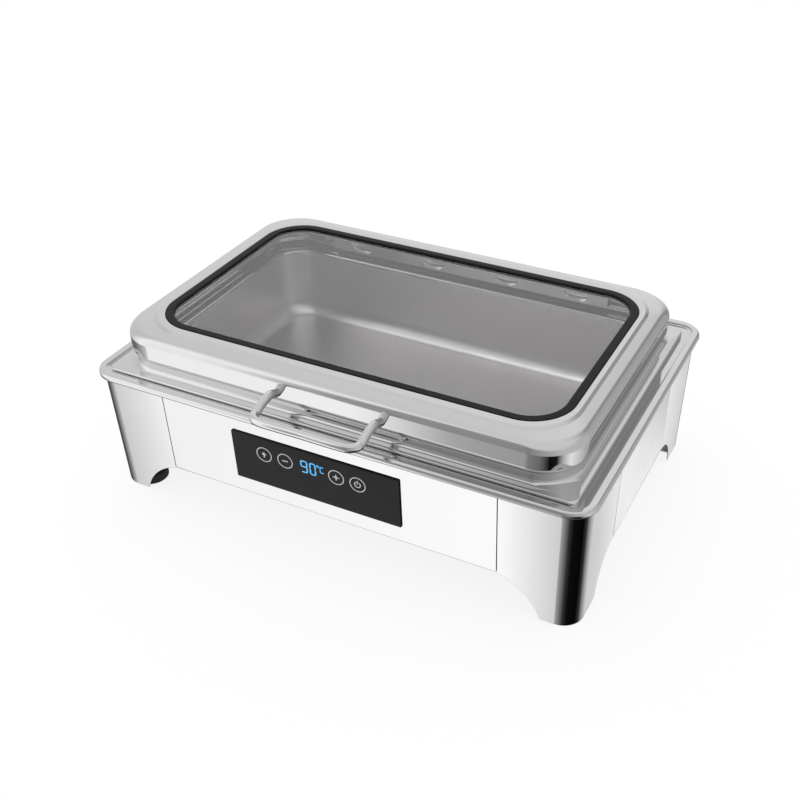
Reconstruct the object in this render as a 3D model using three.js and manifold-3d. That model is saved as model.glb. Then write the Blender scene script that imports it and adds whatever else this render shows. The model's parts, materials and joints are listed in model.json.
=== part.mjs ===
// Electric chafing dish with a hinged glass-top lid, in millimetres.
// +Z is up, +Y points to the rear, X runs along the long side. The origin is on the table,
// under the middle of the whole dish. Every sheet piece is swept round a rounded rectangle.

import * as THREE from "three";
import { mergeVertices } from "three/addons/utils/BufferGeometryUtils.js";
import Module from "manifold-3d";

const wasm = await Module();
wasm.setup();

// Clearances and curve steps
const FIT_GAP = 0.3; // between two pieces that touch
const OVERRUN = 2; // how far a cutter reaches past what it cuts
const LEAST_CORNER = 0.6; // smallest plan corner of any swept ring
const CORNER_STEPS = 5; // facets of a plan corner
const BEND_STEPS = 3; // facets of a bend in a profile
const WIDE_BEND = 3; // a tighter bend than this is one facet
const ROUND_SIDES = 16; // facets of round pieces
const DRILL_SIDES = 8; // facets of screws, studs and their holes
const DRILL_REACH = 15; // how far a drill reaches to each side of a wall

// Rim of the base: rolled bead, flat land, lower seat for the lid, collar for the pans
const RIM_TOP = 161.5;
const RIM_CORNER = 30;
const BEAD_HEIGHT = 8;
const LAND_WIDTH = 10.4;
const LAND_CORNER = 14;
const SEAT_DROP = 3;
const RIM_SHEET = 1.2;
const RIM_BEND = 1.5;

// Skirt: four corner legs and four panels, drawn in towards the table
const SKIRT_INSET = 6;
const SKIRT_SHEET = 1;
const SKIRT_TUCK = 3.5; // how far the skirt stands up behind the bead
const LEG_LENGTH = 98; // a corner leg along the long side, from the rim's outside
const LEG_DEPTH = 117; // and along the short side
const SIDE_TAPER = 0.015;
const FRONT_TAPER = 0.05;
const LEG_CLEARANCE = 1.5; // leg edge above the table
const FRONT_ARCH_REACH = 49; // how far an arch runs past its seam
const FRONT_ARCH_BULGE = 8.5;
const SIDE_ARCH_REACH = 47.5;
const SIDE_ARCH_BULGE = 13;
const ARCH_STEPS = 8;
const HEM_WIDTH = 8;
const HEM_SHEET = 1;

// Feet and the plates that carry them
const FOOT_RADIUS = 20;
const FOOT_HEIGHT = 12.5;
const FOOT_DRAFT = 1.5;
const FOOT_STEM_RADIUS = 3.6;
const FOOT_HEAD_RADIUS = 6;
const FOOT_HEAD_HEIGHT = 2.4;
const FOOT_SIDE_GAP = 6.7; // between a foot and the leg's side
const FOOT_FRONT_GAP = 1.3; // and the leg's front or rear
const LEG_PLATE_SHEET = 1.5;

// Bottom cover with air slots
const COVER_SHEET = 1;
const SLOT_LENGTH = 70;
const SLOT_WIDTH = 6;
const SLOT_PITCH = 16;
const SLOTS_PER_GROUP = 5;
const SLOT_GROUP_SHARES = [0.5, 0.3]; // place of a group of slots, of half the rim's sizes

// Food pan, a full-size gastronorm pan, and the water pan below it
const PAN_OPENING_LENGTH = 505;
const PAN_OPENING_WIDTH = 305;
const PAN_SIDE_FLANGE = 2.5; // how much wider the flange is at the sides
const PAN_DEPTH = 90;
const PAN_SHEET = 0.8;
const PAN_STAND = 10; // pan's top above the rim's
const PAN_OFFSET = 3.9; // pans sit a little to the rear of the lid's middle
const PAN_CLEARANCE = 0.2; // between the walls of the two pans
const PAN_FLANGE_CORNER = 54;
const PAN_OPENING_CORNER = 42;
const PAN_DRAFT = 7;
const PAN_FLOOR_BEND = 20;
const PAN_LIP_DROP = 3;
const PAN_SHOULDER_DROP = 3;
const COLLAR_INSET = 2.7; // collar inside the pan's flange
const COLLAR_LEDGE = 5;
const WATER_PAN_SHEET = 1;
const WATER_ROOM = 11.1; // between the floors of the two pans
const WATER_PAN_DRAFT = 6;
const WATER_PAN_BEND = 14;

// Lid shell: raised window border, flat frame, shoulder, wall, neck and flange
const LID_SIDE = 8.8; // the lid's wall outside the food pan, at the sides
const LID_FRONT = 16.3; // and at the front and rear, less the pan's offset
const LID_HEIGHT = 57.8; // the lid's heights count from its lower edge
const LID_SHEET = 1;
const FRAME_SIDE = 27.5; // from the wall to the window, at the sides
const FRAME_FRONT = 31.5; // and at the front and rear
const WINDOW_CORNER = 50;
const WINDOW_LIP = 4.2;
const BORDER_WIDTH = 6.2;
const EMBOSS_WIDTH = 3.2;
const EMBOSS_DROP = 1.9;
const CREASE_INSET = 4.6;
const CREASE_DROP = 4.4; // from the lid's top
const CREASE_CORNER = 46;
const SHOULDER_DROP = 10.5;
const WALL_CORNER = 50;
const WALL_RISE = 25.7;
const NECK_INSET = 4.5;
const NECK_RISE = 19.7;
const NECK_FOOT = 7.6;
const NECK_CORNER = 43;
const FLANGE_SIDE = 7.5; // flange beyond the wall, at the sides
const FLANGE_FRONT = 5.8; // and at the front and rear
const FLANGE_HEIGHT = 6;
const FLANGE_CORNER = 8;
const FLANGE_SIDE_GAP = 9.3; // between the flange and the rim's land, at the sides
const FLANGE_FRONT_GAP = 2.1; // and at the front
const SMALL_BEND = 1.2;
const WALL_BEND = 6;
const COVE_BEND = 5;

// Window: seal, glass and the retainer under them
const SEAL_WIDTH = 9.6;
const SEAL_HEIGHT = 8.2;
const SEAL_PROUD = 0.3;
const GLASS_THICKNESS = 4;
const GLASS_BITE = 5.6; // how far the glass reaches into the seal
const RETAINER_SHEET = 1.2;
const RETAINER_WIDTH = 12.5;
const RETAINER_GAP = 1.2; // between the window's lip and the retainer

// Bow handle on the lid's front wall
const HANDLE_X = 6;
const HANDLE_WIDTH = 123.8; // between the arms' centre lines
const HANDLE_REACH = 52.6; // from the wall to the bar's centre line
const HANDLE_ROD_RADIUS = 4.8;
const HANDLE_END_DROP = 3.3; // arms' ends below the middle of the wall
const HANDLE_BAR_DROP = 1.8; // bar below the arms' ends
const HANDLE_CREST_RISE = 4.5; // arms' crests above their ends
const HANDLE_CREST_REACH = 13;
const HANDLE_EASE_SHARE = 0.25; // slope of an arm where it leaves the wall
const HANDLE_CORNER = 12;
const HANDLE_ROD_SIDES = 10;
const HANDLE_STEPS = 36;
const STUD_RADIUS = 2.5;
const STUD_HOLE_RADIUS = 3;
const STUD_LENGTH = 9;
const NUT_RADIUS = 5;
const NUT_HEIGHT = 4;
const NUT_SIDES = 6;

// Rear hinge
const HINGE_X = 8;
const HINGE_RISE = 22.7; // shaft above the lid's lower edge
const BARREL_CLEARANCE = 1.6; // between the barrel and the lid's wall
const BARREL_MARGIN = 0.5; // between the barrel and the rim's outside
const BARREL_RADIUS = 16;
const BARREL_LENGTH = 148;
const BARREL_BORE = 6.4;
const BARREL_FOOT_FRONT = 8.4; // barrel foot's front edge ahead of the shaft
const SHAFT_RADIUS = 4;
const SLEEVE_RADIUS = 6;
const SLEEVE_LENGTH = 18;
const KNUCKLE_RADIUS = 13;
const KNUCKLE_WIDTH = 9.4;
const CAP_RADIUS = 8;
const CAP_LENGTH = 7;
const CAP_WALL = 3;
const ARM_PLATE_LENGTH = 34;
const ARM_PLATE_SHEET = 2.2;
const ARM_PLATE_FOOT = 2; // plate's lower edge above the wall's
const ARM_PLATE_HEAD = 3.6; // plate's upper edge below the shoulder
const ARM_WEB_DROP = 3.5; // web's lower edge below the shaft
const ARM_SCREW_RADIUS = 2;
const ARM_SCREW_HEAD_RADIUS = 3.8;
const ARM_SCREW_HEAD = 2.2;
const ARM_SCREW_MARGIN = 7;
const BARREL_SCREW_RADIUS = 2.5;
const BARREL_SCREW_HEAD_RADIUS = 4.6;
const BARREL_SCREW_HEAD = 2.8;
const BARREL_SCREW_DEPTH = 9;
const BARREL_SCREW_INSET = 19; // from the barrel's end

// Stiffener inside the lid's rear wall, with pressed dimples
const STIFFENER_LENGTH = 380;
const STIFFENER_SHEET = 1.2;
const STIFFENER_FOOT = 1.5; // lower edge above the wall's
const STIFFENER_HEAD = 0.6; // upper edge below the shoulder
const DIMPLE_SHARES = [-0.384, -0.113, 0.15, 0.395]; // places, of the stiffener's length
const DIMPLE_LENGTH = 32;
const DIMPLE_MARGIN = 0.75; // above and below a dimple
const DIMPLE_DEPTH = 4.5;

// Heater under the water pan
const SPREADER_MARGIN = 52.5; // spreader's edge inside the food pan's opening
const SPREADER_THICKNESS = 3;
const SPREADER_CORNER = 12;
const ELEMENT_RADIUS = 3.3;
const ELEMENT_MARGIN = 40; // between the straight runs' ends and the spreader's
const ELEMENT_RUNS = 4;
const ELEMENT_SIDES = 6;
const ELEMENT_STEPS = 44;
const CLAMP_SHARE = 0.275; // place of a clamp bar, of the spreader's length
const CLAMP_WIDTH = 14;
const CLAMP_SHEET = 2;
const RIVET_RADIUS = 2.4;
const RIVET_HEAD_RADIUS = 4;
const RIVET_HEAD = 1.6;
const RIVET_MARGIN = 16; // from the spreader's edge
const CUTOUT_RADIUS = 9;
const CUTOUT_HEIGHT = 8;
const SENSOR_RADIUS = 3;
const SENSOR_LENGTH = 26;
const SENSOR_GAP = 12; // between the spreader's edge and the sensor's middle
const HEATER_CLEARANCE = 3.1; // between the water pan and the tallest part on the power board

// Control unit in the front panel
const CONTROL_X = -9;
const CONTROL_RISE = 1.5; // its middle above the middle of the panel
const CONTROL_GLASS_LENGTH = 207;
const CONTROL_GLASS_WIDTH = 65;
const CONTROL_GLASS_THICKNESS = 2.5;
const CONTROL_GLASS_CORNER = 1.5;
const CONTROL_SIDE_LAP = 7.5; // how far the glass covers the panel at the sides
const CONTROL_EDGE_LAP = 5.5; // and above and below
const CONTROL_BOX_DEPTH = 24;
const CONTROL_BOX_WALL = 2;
const CONTROL_LEDGE = 3;
const BOARD_THICKNESS = 1.6;
const DISPLAY_LENGTH = 34;
const DISPLAY_WIDTH = 16;
const DISPLAY_DEPTH = 6;

// Power side: tray with its board, and the mains inlet in the rear panel
const TRAY_INSET = 56; // its middle from the rim's outside
const TRAY_LENGTH = 50;
const TRAY_WIDTH = 120;
const TRAY_HEIGHT = 7;
const TRAY_WALL = 2;
const TRAY_LEDGE = 3;
const RELAY_LENGTH = 16;
const RELAY_WIDTH = 20;
const RELAY_HEIGHT = 10;
const TRANSFORMER_LENGTH = 26;
const TRANSFORMER_WIDTH = 30;
const TRANSFORMER_HEIGHT = 11;
const INLET_SEAM_GAP = 53; // its middle from the rear left seam
const INLET_DROP = 1; // its middle below the middle of the panel
const INLET_RECESS_LENGTH = 24;
const INLET_RECESS_WIDTH = 16;
const INLET_RECESS_DEPTH = 16;
const INLET_WALL = 2;
const INLET_BACK = 8;
const INLET_SIDE_LIP = 10;
const INLET_EDGE_LIP = 3;
const INLET_FLANGE = 2.5;
const INLET_PIN_SETBACK = 3; // pins' tips inside the recess's mouth
const INLET_PIN_WIDTH = 2;
const INLET_PIN_HEIGHT = 4;
const INLET_PIN_PITCH = 7;
const INLET_PIN_RISE = 2;
const INLET_CORNER = 4;

// Finishes
const finish = (color, metalness, roughness, extra = {}) =>
  new THREE.MeshStandardMaterial({ color, metalness, roughness, ...extra });
const mirrorSteel = () => finish(0xdcdcdc, 1, 0.08);
const satinSteel = () => finish(0xa9a6a8, 1, 0.32);
const chrome = () => finish(0xe4e6e8, 1, 0.05);
const blackRubber = () => finish(0x1b1a1c, 0, 0.6);
const blackGlass = () => finish(0x101012, 0, 0.12);
const clearGlass = () => finish(0xe8eeee, 0, 0.02, { transparent: true, opacity: 0.25 });
const darkPlastic = () => finish(0x26262a, 0, 0.5);
const boardGreen = () => finish(0x2c5a3c, 0, 0.6);
const zincSteel = () => finish(0xb9bcc0, 1, 0.4);
const aluminium = () => finish(0xc6c8ca, 1, 0.5);

// Solids

// A geometry as a closed solid, with its shared corners merged.
function toSolid(geometry) {
  const bare = geometry.index ? geometry.toNonIndexed() : geometry.clone();
  bare.deleteAttribute("normal");
  bare.deleteAttribute("uv");
  const merged = mergeVertices(bare);
  return new wasm.Manifold(new wasm.Mesh({
    numProp: 3,
    vertProperties: merged.attributes.position.array,
    triVerts: new Uint32Array(merged.index.array),
  }));
}

function toGeometry(solid) {
  const mesh = solid.getMesh();
  const geometry = new THREE.BufferGeometry();
  geometry.setAttribute("position", new THREE.BufferAttribute(mesh.vertProperties, 3));
  geometry.setIndex(new THREE.BufferAttribute(mesh.triVerts, 1));
  return geometry;
}

function cut(geometry, ...cutters) {
  return toGeometry(cutters.reduce((solid, cutter) => solid.subtract(toSolid(cutter)), toSolid(geometry)));
}

function join(geometry, ...others) {
  return toGeometry(others.reduce((solid, other) => solid.add(toSolid(other)), toSolid(geometry)));
}

function common(geometry, other) {
  return toGeometry(toSolid(geometry).intersect(toSolid(other)));
}

// Turns a closed surface so that its faces point outwards.
function outward(positions, triangles) {
  const a = new THREE.Vector3();
  const b = new THREE.Vector3();
  const c = new THREE.Vector3();
  let volume = 0;
  for (let i = 0; i < triangles.length; i += 3) {
    a.fromArray(positions, 3 * triangles[i]);
    b.fromArray(positions, 3 * triangles[i + 1]);
    c.fromArray(positions, 3 * triangles[i + 2]);
    volume += a.dot(b.cross(c));
  }
  if (volume < 0) triangles.reverse();
  const geometry = new THREE.BufferGeometry();
  geometry.setAttribute("position", new THREE.Float32BufferAttribute(positions, 3));
  geometry.setIndex(triangles);
  return geometry;
}

// Sweeps round a rounded rectangle

// A station is one ring of a swept sheet: half its length, how much less half its depth is,
// its height, its plan corner, its middle along Y, and the bend of the profile there.
function station(halfLength, inset, height, corner, shift = 0, fillet = 0) {
  return { x: halfLength, inset, z: height, corner, shift, fillet };
}

function mix(from, to, share) {
  const between = {};
  for (const key of ["x", "inset", "z", "corner", "shift"]) {
    between[key] = from[key] + (to[key] - from[key]) * share;
  }
  return between;
}

// The profile with an arc in place of each corner that has a fillet.
function bent(stations) {
  const path = [];
  stations.forEach((here, index) => {
    const before = stations[index - 1];
    const after = stations[index + 1];
    if (!here.fillet || !before || !after) {
      path.push(here);
      return;
    }
    const back = new THREE.Vector2(before.x - here.x, before.z - here.z);
    const on = new THREE.Vector2(after.x - here.x, after.z - here.z);
    const backLength = back.length();
    const onLength = on.length();
    back.normalize();
    on.normalize();
    const halfAngle = Math.acos(THREE.MathUtils.clamp(back.dot(on), -1, 1)) / 2;
    const reach = Math.min(here.fillet / Math.tan(halfAngle), backLength / 2, onLength / 2);
    const radius = reach * Math.tan(halfAngle);
    const axis = back.clone().add(on).normalize().multiplyScalar(radius / Math.sin(halfAngle));
    const start = mix(here, before, reach / backLength);
    const end = mix(here, after, reach / onLength);
    const centre = new THREE.Vector2(here.x + axis.x, here.z + axis.y);
    const from = Math.atan2(start.z - centre.y, start.x - centre.x);
    let sweep = Math.atan2(end.z - centre.y, end.x - centre.x) - from;
    sweep -= Math.round(sweep / (2 * Math.PI)) * 2 * Math.PI;
    const steps = here.fillet < WIDE_BEND ? 1 : BEND_STEPS;
    for (let step = 0; step <= steps; step += 1) {
      const share = step / steps;
      const point = mix(start, end, share);
      point.x = centre.x + radius * Math.cos(from + sweep * share);
      point.z = centre.y + radius * Math.sin(from + sweep * share);
      path.push(point);
    }
  });
  return path;
}

// The same profile moved sideways by the sheet's thickness, with mitred corners.
function offset(path, thickness) {
  return path.map((here, index) => {
    const before = path[Math.max(index - 1, 0)];
    const after = path[Math.min(index + 1, path.length - 1)];
    const first = index > 0 ? new THREE.Vector2(here.x - before.x, here.z - before.z).normalize() : null;
    const second = index < path.length - 1
      ? new THREE.Vector2(after.x - here.x, after.z - here.z).normalize() : null;
    const a = first ?? second;
    const b = second ?? first;
    const normal = new THREE.Vector2(a.y + b.y, -(a.x + b.x));
    normal.multiplyScalar(2 * thickness / normal.lengthSq());
    return {
      ...here,
      x: here.x + normal.x,
      z: here.z + normal.y,
      corner: Math.max(here.corner + normal.x, LEAST_CORNER),
    };
  });
}

function ring({ x, inset, z, corner, shift }, steps) {
  const y = x - inset;
  const points = [];
  [[1, 1], [-1, 1], [-1, -1], [1, -1]].forEach(([sideX, sideY], quarter) => {
    for (let step = 0; step <= steps; step += 1) {
      const angle = (quarter + step / steps) * Math.PI / 2;
      points.push(
        sideX * (x - corner) + corner * Math.cos(angle),
        shift + sideY * (y - corner) + corner * Math.sin(angle),
        z,
      );
    }
  });
  return points;
}

// Joins the rings into one closed surface: round in a loop, or with a cap at both ends.
function loft(stations, { loop = false, steps = CORNER_STEPS } = {}) {
  const positions = stations.flatMap((one) => ring(one, steps));
  const around = 4 * (steps + 1);
  const triangles = [];
  const spans = loop ? stations.length : stations.length - 1;
  for (let span = 0; span < spans; span += 1) {
    const low = span * around;
    const high = ((span + 1) % stations.length) * around;
    for (let i = 0; i < around; i += 1) {
      const j = (i + 1) % around;
      triangles.push(low + i, low + j, high + j, low + i, high + j, high + i);
    }
  }
  if (!loop) {
    const last = (stations.length - 1) * around;
    for (let i = 1; i < around - 1; i += 1) {
      triangles.push(0, i + 1, i, last, last + i, last + i + 1);
    }
  }
  return outward(positions, triangles);
}

// A bent sheet with both edges open, and a bent sheet that closes into a cup.
const sheetRing = (path, thickness, steps) =>
  loft([...path, ...offset(path, thickness).reverse()], { loop: true, steps });
const sheetCup = (path, thickness, steps) =>
  loft([...path, ...offset(path, thickness).reverse()], { steps });

// Simple pieces

function box(x, y, z, at = [0, 0, 0]) {
  return new THREE.BoxGeometry(x, y, z).translate(...at);
}

// A box given by its two corners.
function block([x0, y0, z0], [x1, y1, z1]) {
  return box(x1 - x0, y1 - y0, z1 - z0, [(x0 + x1) / 2, (y0 + y1) / 2, (z0 + z1) / 2]);
}

// A turned piece on the Z axis from its outline of [radius, height] points.
function turned(outline, sides = ROUND_SIDES) {
  const points = outline.map(([radius, height]) => new THREE.Vector2(radius, height));
  const lathe = new THREE.LatheGeometry([...points, points[0]], sides).rotateX(Math.PI / 2);
  lathe.deleteAttribute("normal");
  lathe.deleteAttribute("uv");
  const merged = mergeVertices(lathe);
  const triangles = [];
  for (let i = 0; i < merged.index.count; i += 3) {
    const [a, b, c] = merged.index.array.slice(i, i + 3);
    if (a !== b && b !== c && c !== a) triangles.push(a, b, c);
  }
  return outward(Array.from(merged.attributes.position.array), triangles);
}

const rod = (radius, length, sides = ROUND_SIDES) =>
  turned([[0, 0], [radius, 0], [radius, length], [0, length]], sides);
const alongX = (geometry) => geometry.rotateY(Math.PI / 2);
const alongY = (geometry) => geometry.rotateX(-Math.PI / 2);

// A drill through a flat wall or floor, centred on it, and one through an upright wall.
const drill = (radius, x, y, z) =>
  rod(radius, 2 * DRILL_REACH, DRILL_SIDES).translate(x, y, z - DRILL_REACH);
const drillY = (radius, x, wall, z) =>
  alongY(rod(radius, 2 * DRILL_REACH, DRILL_SIDES)).translate(x, wall - DRILL_REACH, z);

// A flat outline in X and Z, given a depth along Y from 0 on.
function prismAlongY(shape, depth) {
  return new THREE.ExtrudeGeometry(shape, { depth, bevelEnabled: false })
    .rotateX(Math.PI / 2).translate(0, depth, 0);
}

// A flat outline in Y and Z, given a length along X from 0 on.
function prismAlongX(shape, length) {
  return new THREE.ExtrudeGeometry(shape, { depth: length, bevelEnabled: false })
    .rotateY(Math.PI / 2).rotateX(Math.PI / 2);
}

// A rounded slab whose outline lies in X and Z, centred, with its back face at Y = 0.
function slabAlongY(length, width, corner, depth) {
  const shape = new THREE.Shape();
  const x = length / 2;
  const z = width / 2;
  shape.moveTo(-x + corner, -z);
  shape.lineTo(x - corner, -z);
  shape.absarc(x - corner, -z + corner, corner, -Math.PI / 2, 0);
  shape.lineTo(x, z - corner);
  shape.absarc(x - corner, z - corner, corner, 0, Math.PI / 2);
  shape.lineTo(-x + corner, z);
  shape.absarc(-x + corner, z - corner, corner, Math.PI / 2, Math.PI);
  shape.lineTo(-x, -z + corner);
  shape.absarc(-x + corner, -z + corner, corner, Math.PI, -Math.PI / 2);
  return new THREE.ExtrudeGeometry(shape, { depth, bevelEnabled: false, curveSegments: BEND_STEPS })
    .rotateX(Math.PI / 2);
}

// Points of an arc from one point to another that stands off their chord by its bulge,
// to the left of the way from the first to the second.
function arcBetween(from, to, bulge, steps) {
  const chord = to.clone().sub(from);
  const half = chord.length() / 2;
  const reach = (half * half + bulge * bulge) / (2 * bulge);
  const radius = Math.abs(reach);
  const left = new THREE.Vector2(-chord.y, chord.x).normalize();
  const centre = from.clone().add(to).divideScalar(2).addScaledVector(left, bulge - reach);
  const start = from.clone().sub(centre).angle();
  let sweep = to.clone().sub(centre).angle() - start;
  sweep -= Math.round(sweep / (2 * Math.PI)) * 2 * Math.PI;
  const points = [];
  for (let step = 0; step <= steps; step += 1) {
    const angle = start + sweep * step / steps;
    const spoke = new THREE.Vector2(radius * Math.cos(angle), radius * Math.sin(angle));
    points.push(spoke.add(centre));
  }
  return points;
}

// The dish has three bodies: the base, the food pan that lifts out and the lid on its hinge.

const base = new THREE.Group();
const pan = new THREE.Group();
const lid = new THREE.Group();
const dish = new THREE.Group().add(base, pan, lid);

function add(body, name, geometry, material) {
  const mesh = new THREE.Mesh(geometry, material);
  mesh.name = name;
  body.add(mesh);
  return mesh;
}

// Plan sizes, from the food pan outwards: each half length goes with an inset, which is
// how much less the half depth is.
const panFlange = COLLAR_INSET + COLLAR_LEDGE + FIT_GAP + WATER_PAN_SHEET + PAN_SHEET + PAN_CLEARANCE;
const openingHalf = PAN_OPENING_LENGTH / 2;
const openingInset = (PAN_OPENING_LENGTH - PAN_OPENING_WIDTH) / 2;
const panHalf = openingHalf + panFlange + PAN_SIDE_FLANGE;
const panInset = openingInset + PAN_SIDE_FLANGE;
const lidHalf = panHalf + LID_SIDE;
const lidInset = panInset + LID_SIDE - LID_FRONT;
const lidHalfDepth = lidHalf - lidInset;
const flangeHalf = lidHalf + FLANGE_SIDE;
const flangeInset = lidInset + FLANGE_SIDE - FLANGE_FRONT;
const rimHalf = flangeHalf + FLANGE_SIDE_GAP + LAND_WIDTH;

// The rim holds the lid's flange at the front and the hinge behind the lid at the rear.
const frontReach = lidHalfDepth + FLANGE_FRONT + FLANGE_FRONT_GAP + LAND_WIDTH;
const rearReach = lidHalfDepth + BARREL_CLEARANCE + 2 * BARREL_RADIUS + BARREL_MARGIN;
const rimHalfDepth = (frontReach + rearReach) / 2;
const rimInset = rimHalf - rimHalfDepth;
const lidShift = rimHalfDepth - rearReach;
const panShift = lidShift + PAN_OFFSET;
const lidFrontWall = lidShift - lidHalfDepth;
const lidRearWall = lidShift + lidHalfDepth;
const hingeY = lidRearWall + BARREL_CLEARANCE + BARREL_RADIUS;

// Heights, from the rim up to the lid and down to the skirt's edge
const beadBottom = RIM_TOP - BEAD_HEIGHT;
const seatTop = RIM_TOP - SEAT_DROP;
const lidLow = seatTop + FIT_GAP;
const lidTop = lidLow + LID_HEIGHT;
const wallBottom = lidLow + WALL_RISE;
const shoulder = lidTop - SHOULDER_DROP;
const hingeZ = lidLow + HINGE_RISE;
const panTop = RIM_TOP + PAN_STAND;
const collarTop = panTop - PAN_SHEET - FIT_GAP;
const panFloor = panTop - PAN_DEPTH;
const waterFloor = panFloor - WATER_ROOM;
const trayStack = TRAY_HEIGHT - 2 * TRAY_WALL + BOARD_THICKNESS + TRANSFORMER_HEIGHT + 3 * FIT_GAP;
const coverTop = waterFloor - HEATER_CLEARANCE - trayStack;
const coverLow = coverTop - COVER_SHEET;
const skirtEdge = coverLow - FIT_GAP - HEM_SHEET;
const panelMiddle = (skirtEdge + beadBottom) / 2;

const skirtHalf = rimHalf - SKIRT_INSET;
const skirtTop = beadBottom + SKIRT_TUCK;
const seamX = rimHalf - LEG_LENGTH;
const seamY = rimHalfDepth - LEG_DEPTH;
const collarHalf = panHalf - COLLAR_INSET;
const collarCorner = PAN_FLANGE_CORNER - COLLAR_INSET;
const collarHole = collarHalf - COLLAR_LEDGE;

// Half sizes of the skirt's outside at a height.
const skirtX = (height) => skirtHalf - SIDE_TAPER * Math.max(beadBottom - height, 0);
const skirtY = (height) => skirtHalf - rimInset - FRONT_TAPER * Math.max(beadBottom - height, 0);

// A plan ring that stands in from the skirt's outside by a margin.
function skirtRing(height, margin) {
  const x = skirtX(height) - margin;
  return station(x, x - skirtY(height) + margin, height, RIM_CORNER - SKIRT_INSET - margin);
}

const barrelScrewX = BARREL_LENGTH / 2 - BARREL_SCREW_INSET;

// Rim frame

function rimFrame() {
  const beadFillet = BEAD_HEIGHT / 2;
  const landHalf = rimHalf - LAND_WIDTH;
  const hemHalf = skirtHalf + FIT_GAP;
  const path = bent([
    station(hemHalf, rimInset, beadBottom, RIM_CORNER - SKIRT_INSET + FIT_GAP),
    station(rimHalf, rimInset, beadBottom, RIM_CORNER, 0, beadFillet),
    station(rimHalf, rimInset, RIM_TOP, RIM_CORNER, 0, beadFillet),
    station(landHalf, rimInset, RIM_TOP, LAND_CORNER, 0, SMALL_BEND),
    station(landHalf, rimInset, seatTop, LAND_CORNER, 0, SMALL_BEND),
    station(collarHalf, panInset, seatTop, collarCorner, panShift, RIM_BEND),
    station(collarHalf, panInset, collarTop, collarCorner, panShift, RIM_BEND),
    station(collarHole, panInset, collarTop, collarCorner - COLLAR_LEDGE, panShift),
  ]);
  const holes = [-1, 1].map((side) =>
    drill(BARREL_SCREW_RADIUS + FIT_GAP, HINGE_X + side * barrelScrewX, hingeY, seatTop));
  return cut(sheetRing(path, -RIM_SHEET), ...holes);
}

add(base, "rim_frame", rimFrame(), mirrorSteel());

// Skirt

// The opening between two legs: straight along the panel's lower edge, with an arc at each leg.
function archShape(seam, reach, bulge) {
  const foot = new THREE.Vector2(seam + reach, LEG_CLEARANCE);
  const crown = new THREE.Vector2(seam, skirtEdge);
  const right = arcBetween(foot, crown, -bulge, ARCH_STEPS);
  const left = [...right].reverse().map((point) => new THREE.Vector2(-point.x, point.y));
  const floor = -OVERRUN;
  return new THREE.Shape([
    new THREE.Vector2(-foot.x, floor),
    new THREE.Vector2(foot.x, floor),
    ...right,
    ...left,
  ]);
}

function skirtShell() {
  const levels = [LEG_CLEARANCE, beadBottom, skirtTop];
  const outer = loft(levels.map((height) => skirtRing(height, 0)));
  const innerLevels = [LEG_CLEARANCE - OVERRUN, beadBottom, skirtTop + OVERRUN];
  const inner = loft(innerLevels.map((height) => skirtRing(height, SKIRT_SHEET)));
  const frontArch = prismAlongY(archShape(seamX, FRONT_ARCH_REACH, FRONT_ARCH_BULGE), 2 * rimHalf)
    .translate(0, -rimHalf, 0);
  const sideArch = prismAlongX(archShape(seamY, SIDE_ARCH_REACH, SIDE_ARCH_BULGE), 2 * rimHalf)
    .translate(-rimHalf, 0, 0);
  return cut(outer, inner, frontArch, sideArch);
}

const shell = skirtShell();

function leg(sideX, sideY) {
  const gap = FIT_GAP / 2;
  const xs = [sideX * (seamX + gap), sideX * rimHalf].sort((a, b) => a - b);
  const ys = [sideY * (seamY + gap), sideY * rimHalf].sort((a, b) => a - b);
  return common(shell, block([xs[0], ys[0], -OVERRUN], [xs[1], ys[1], RIM_TOP]));
}

// A panel is the flat stretch between two seams, with its lower edge folded in as a hem.
function frontOrRearPanel(side) {
  const x = seamX - FIT_GAP / 2;
  const ys = [0, side * rimHalf].sort((a, b) => a - b);
  const face = common(shell, block([-x, ys[0], 0], [x, ys[1], RIM_TOP]));
  const outside = skirtY(skirtEdge) - SKIRT_SHEET / 2;
  const hem = [side * outside, side * (outside - HEM_WIDTH)].sort((a, b) => a - b);
  return join(face, block([-x, hem[0], skirtEdge], [x, hem[1], skirtEdge + HEM_SHEET]));
}

function sidePanel(side) {
  const y = seamY - FIT_GAP / 2;
  const xs = [0, side * rimHalf].sort((a, b) => a - b);
  const face = common(shell, block([xs[0], -y, 0], [xs[1], y, RIM_TOP]));
  const outside = skirtX(skirtEdge) - SKIRT_SHEET / 2;
  const hem = [side * outside, side * (outside - HEM_WIDTH)].sort((a, b) => a - b);
  return join(face, block([hem[0], -y, skirtEdge], [hem[1], y, skirtEdge + HEM_SHEET]));
}

const corners = [
  ["front_left", -1, -1],
  ["front_right", 1, -1],
  ["rear_left", -1, 1],
  ["rear_right", 1, 1],
];

// Feet: a rubber disc with a stem that snaps through the leg's plate.
const footX = skirtX(0) - SKIRT_SHEET - FOOT_SIDE_GAP - FOOT_RADIUS;
const footY = skirtY(0) - SKIRT_SHEET - FOOT_FRONT_GAP - FOOT_RADIUS;
const plateLow = FOOT_HEIGHT + FIT_GAP;
const plateHigh = plateLow + LEG_PLATE_SHEET;

function foot() {
  const head = plateHigh + FIT_GAP;
  return turned([
    [0, 0],
    [FOOT_RADIUS - FOOT_DRAFT, 0],
    [FOOT_RADIUS, FOOT_DRAFT],
    [FOOT_RADIUS, FOOT_HEIGHT],
    [FOOT_STEM_RADIUS, FOOT_HEIGHT],
    [FOOT_STEM_RADIUS, head],
    [FOOT_HEAD_RADIUS, head],
    [FOOT_STEM_RADIUS, head + FOOT_HEAD_HEIGHT],
    [0, head + FOOT_HEAD_HEIGHT],
  ]);
}

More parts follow.
